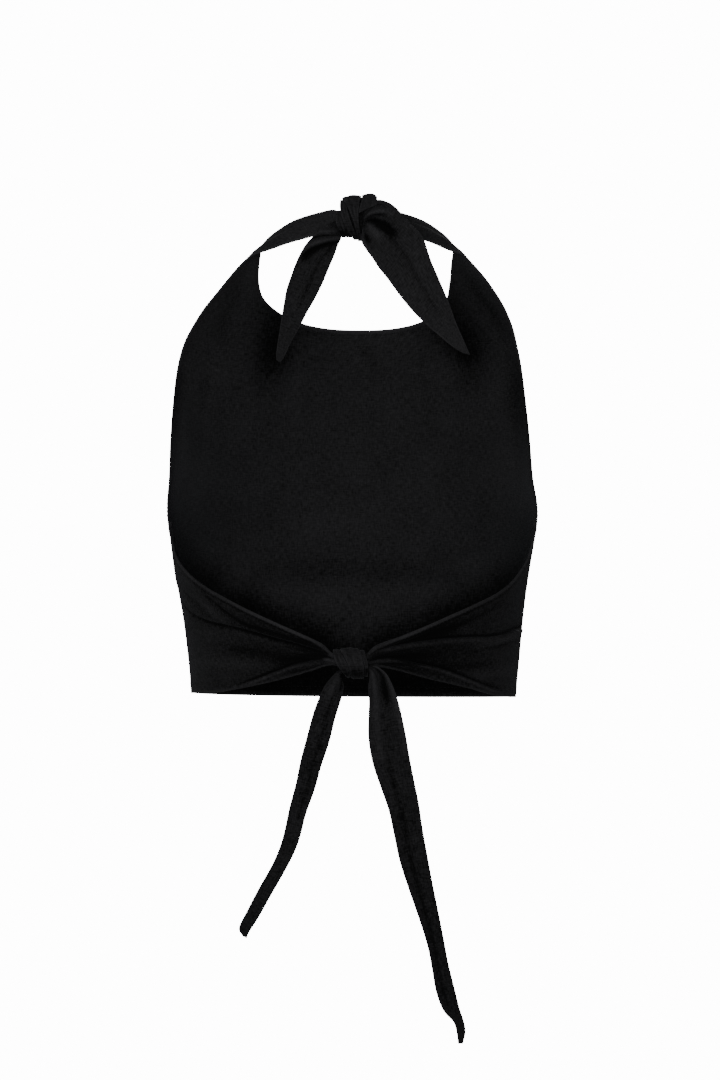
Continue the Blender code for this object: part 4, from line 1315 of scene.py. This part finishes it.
# ---------------------------------------------------------------- stitching
def surface_frame(surface, u, v):
    """A point of a surface and its normal."""
    small = 0.004
    before, after = max(0.0, u - small), min(1.0, u + small)
    under, above = max(0.0, v - small), min(1.0, v + small)
    along_u = surface(after, v) - surface(before, v)
    along_v = surface(u, above) - surface(u, under)
    return surface(u, v), along_u.cross(along_v).normalized()


def sew(shape, surface, path, wall, steps):
    """Adds a row of stitches on both faces of a cloth, along path(t) = (u, v), t from 0 to 1."""
    places = [surface_frame(surface, *path(k / steps)) for k in range(steps + 1)]
    travelled, wanted = 0.0, STITCH_GAP
    for (here, normal), (there, _) in zip(places, places[1:]):
        length = (there - here).length
        while travelled + length >= wanted and length > 0:
            middle = here.lerp(there, (wanted - travelled) / length)
            run = (there - here).normalized()
            for face in (-1, 1):
                out = normal * face
                turn = Matrix((run, out.cross(run), out)).transposed().to_4x4()
                size = Matrix.Diagonal((STITCH_LENGTH / 2, THREAD / 2, THREAD / 2, 1.0))
                place = Matrix.Translation(middle + out * (wall / 2 - 0.02))
                made = bmesh.ops.create_icosphere(shape, subdivisions=1, radius=1.0)
                bmesh.ops.transform(shape, matrix=place @ turn @ size, verts=made["verts"])
            wanted += STITCH_LENGTH + STITCH_GAP
        travelled += length


def finish_stitches(name, shape, finish):
    """Ties a cloth's rows of stitches to the body, as one piece."""
    for vert in shape.verts:
        vert.co = placed(vert.co)
    piece = as_object(name, shape)
    piece.data.shade_smooth()
    piece.data.materials.append(finish)
    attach(piece, "root")
    return piece


# ---------------------------------------------------------------- camera, floor and light
def make_camera():
    data = bpy.data.cameras.new("camera")
    data.sensor_width = 36.0
    data.lens = data.sensor_width * VIEW_DISTANCE / VIEW_HEIGHT
    data.clip_end = 50.0
    camera = bpy.data.objects.new("camera", data)
    camera.location = placed(VIEW_CENTRE - Vector((0.0, VIEW_DISTANCE, 0.0)))
    camera.rotation_euler = (math.radians(90), 0.0, 0.0)
    bpy.context.scene.collection.objects.link(camera)
    bpy.context.scene.camera = camera


def make_light(name, place, size, watts):
    data = bpy.data.lights.new(name, "AREA")
    data.shape = "RECTANGLE"
    data.size, data.size_y = size
    data.energy = watts
    lamp = bpy.data.objects.new(name, data)
    lamp.location = place
    aim = Vector((0.0, 0.0, -0.2)) - lamp.location
    lamp.rotation_euler = aim.to_track_quat("-Z", "Y").to_euler()
    bpy.context.scene.collection.objects.link(lamp)


def make_floor():
    shape = bmesh.new()
    bmesh.ops.create_circle(shape, cap_ends=True, segments=96, radius=FLOOR_RADIUS)
    bmesh.ops.translate(shape, verts=shape.verts, vec=(0.0, 0.0, -FLOOR_DROP))
    paint = Finish("pale_floor")
    paint.set(Base_Color=FLOOR_GREY, Roughness=0.9)
    floor = as_object("floor", shape)
    floor.data.materials.append(paint.material)


def make_sky():
    """A white backdrop to look at, which lights the top only softly."""
    world = bpy.data.worlds.new("studio")
    world.use_nodes = True
    tree = world.node_tree
    soft = tree.nodes["Background"]
    soft.inputs["Color"].default_value = (1.0, 1.0, 1.0, 1.0)
    soft.inputs["Strength"].default_value = SKY_LIGHT
    seen = tree.nodes.new("ShaderNodeBackground")
    seen.inputs["Color"].default_value = (1.0, 1.0, 1.0, 1.0)
    seen.inputs["Strength"].default_value = SKY_SEEN
    path = tree.nodes.new("ShaderNodeLightPath")
    choice = tree.nodes.new("ShaderNodeMixShader")
    tree.links.new(path.outputs["Is Camera Ray"], choice.inputs["Fac"])
    tree.links.new(soft.outputs["Background"], choice.inputs[1])
    tree.links.new(seen.outputs["Background"], choice.inputs[2])
    tree.links.new(choice.outputs["Shader"], tree.nodes["World Output"].inputs["Surface"])
    bpy.context.scene.world = world


def make_stage():
    make_camera()
    make_floor()
    make_light("front_softbox", Vector((-0.25, -4.4, -0.05)), (1.7, 1.3), FRONT_WATTS)
    make_light("left_softbox", Vector((-2.4, 0.4, 0.2)), (1.4, 2.2), LEFT_WATTS)
    make_light("right_softbox", Vector((2.4, 0.4, 0.2)), (1.4, 2.2), RIGHT_WATTS)
    make_light("top_softbox", Vector((-0.3, -1.3, 1.7)), (1.6, 0.9), TOP_WATTS)
    make_light("far_softbox", Vector((0.3, 2.8, 1.0)), (2.4, 1.8), FAR_WATTS)
    make_sky()


# ---------------------------------------------------------------- the whole top
def stand_for(node):
    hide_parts(node)


def make_front_and_stitches(outside, inside, thread):
    front = make_front(outside, inside)
    stand_for("front_panel")
    rows = bmesh.new()
    sew(rows, front_low(-1.0, 1.0), lambda t: (mix(0.004, 0.996, t), 0.031), TURNED_WALL, 240)
    sew(rows, bib, lambda t: (t, 0.89), TURNED_WALL, 60)

    def side_path(t):
        v = mix(0.55, 1.0, t)
        return 1.0 - ARM_STITCH / girth_at(BIB_TOP * v), v

    def arm_path(t):
        return 1.0 - ARM_STITCH / mix(125.0, YOKE_BREADTH, ease(0, 1, t)), t

    def neck_path(t):
        v = mix(YOKE_LOW, 1.0, t)
        return ARM_STITCH / mix(100.0, YOKE_BREADTH, ease(0, 1, v)), v

    for side in (-1, 1):
        sew(rows, front_low(0.0, side), side_path, TURNED_WALL, 80)
        sew(rows, yoke(side), arm_path, TURNED_WALL, 80)
        sew(rows, yoke(side), neck_path, TURNED_WALL, 60)
    stitches = finish_stitches("front_stitches", rows, thread)


def make_wing_and_stitches(word, side, wrinkles, finish, thread):
    cloth = make_wing("wing_cloth_" + word, side, wrinkles, finish)
    stand_for("wing_" + word)
    rows, surface = bmesh.new(), wing(side, wrinkles)

    def top_path(t):
        return mix(0.033, 0.92, t), WING_LANES[5] + 0.012

    def hem_path(t):
        u = mix(0.033, 0.42, t)
        turn, low, up, tall = wing_height(side, u, 0.0)
        hem, wedge = wing_lines(side, turn, tall)[:2]
        share = (HEM_STITCH - hem) / (wedge - hem)
        return u, mix(WING_LANES[1], WING_LANES[2], share)

    sew(rows, surface, top_path, TURNED_WALL, 140)
    sew(rows, surface, hem_path, TURNED_WALL, 120)
    stitches = finish_stitches("wing_stitches_" + word, rows, thread)


def make_bands(finish):
    """The stretches of tie that go round each knot, listed by knot."""
    bands = {"neck": [], "waist": []}
    for name, knot, turn, under, cut, lap in (
        ("waist_knot_wrap", WAIST_KNOT, WAIST_WRAP, 1.0, (0.012, 0.070), 0.0),
        ("waist_knot_cross", WAIST_KNOT, WAIST_CROSS, 0.8, (0.006, 0.062), 0.0),
        ("waist_knot_edge", WAIST_KNOT, WAIST_EDGE, 1.0, (0.003, 0.058), 0.0),
        ("neck_knot_collar", NECK_KNOT, NECK_COLLAR, 1.0, (0.008, 0.060), 0.0),
        ("neck_knot_turn_a", NECK_KNOT, NECK_TURN_A, 0.4, (0.004, 0.076), 0.4),
        ("neck_knot_turn_b", NECK_KNOT, NECK_TURN_B, 0.4, (0.006, 0.074), 0.0),
    ):
        band = make_band(
            name + "_cloth", wrap(knot, turn, cut[0] * 300, lap),
            lambda u, v: wrap_groove(u, math.sin(v * 2 * math.pi)), under, cut, finish,
        )
        stand_for(name)
        bands[name.split("_")[0]].append(band)
    band = make_band("neck_knot_cap_cloth", cap, cap_folds, 0.0, (0.027, 0.034), finish, 40, 30)
    stand_for("neck_knot_cap")
    bands["neck"].append(band)
    return bands


def make_tails(finish, bands):
    """The four hanging ties."""
    for name, spans, pleats, shades, across, along, width, length, area in (
        (
            "neck_tail_left", NECK_TAIL_LEFT, NECK_PLEATS_LEFT, (0.35, 0.42, 0.36, 0.22),
            34, 84, 0.026, 0.125, 0.0023,
        ),
        (
            "neck_tail_right", NECK_TAIL_RIGHT, NECK_PLEATS_RIGHT, (0.22, 0.30, 0.16, 0.05),
            60, 92, 0.044, 0.135, 0.0044,
        ),
        (
            "waist_tail_left", WAIST_TAIL_LEFT, WAIST_PLEATS_LEFT, (0.45, 0.55, 0.58, 0.60),
            18, 104, 0.017, 0.225, 0.0030,
        ),
        (
            "waist_tail_right", WAIST_TAIL_RIGHT, WAIST_PLEATS_RIGHT, (0.20, 0.48, 0.66, 0.80),
            36, 132, 0.028, 0.300, 0.0060,
        ),
    ):
        tail = make_tail(
            name + "_cloth", spans, pleats, shades, across, along, width, length, finish
        )
        stand_for(name)
        wound = bands[name.split("_")[0]] if name.endswith("right") else []
        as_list(wound)


def make_cores(finish):
    for name, knot, beads in (
        ("waist_knot_core", WAIST_KNOT + Vector((0.0, 0.0, -1.0)), WAIST_BEADS),
        ("neck_knot_core", NECK_KNOT, NECK_BEADS),
    ):
        core = make_core(name + "_cloth", knot, beads, finish)
        stand_for(name)


def make_top():
    body = woven_black("black_cloth", 0.86, 0.045)
    tied = woven_black("black_tie", 0.84, 0.05)
    thread = thread_black("black_thread")
    # The same weave for the front's outer face, without the painted shade that black_cloth carries
    # on the front's inside and on the wings.
    outside = woven_black("black_cloth_outside", 0.86, 0.045, shade_share=0.0)
    make_front_and_stitches(outside, body, thread)
    make_wing_and_stitches("left", -1, LEFT_WRINKLE_LINES, body, thread)
    make_wing_and_stitches("right", 1, RIGHT_WRINKLE_LINES, body, thread)
    bands = make_bands(tied)
    make_tails(tied, bands)
    make_cores(tied)


make_stage()
make_top()
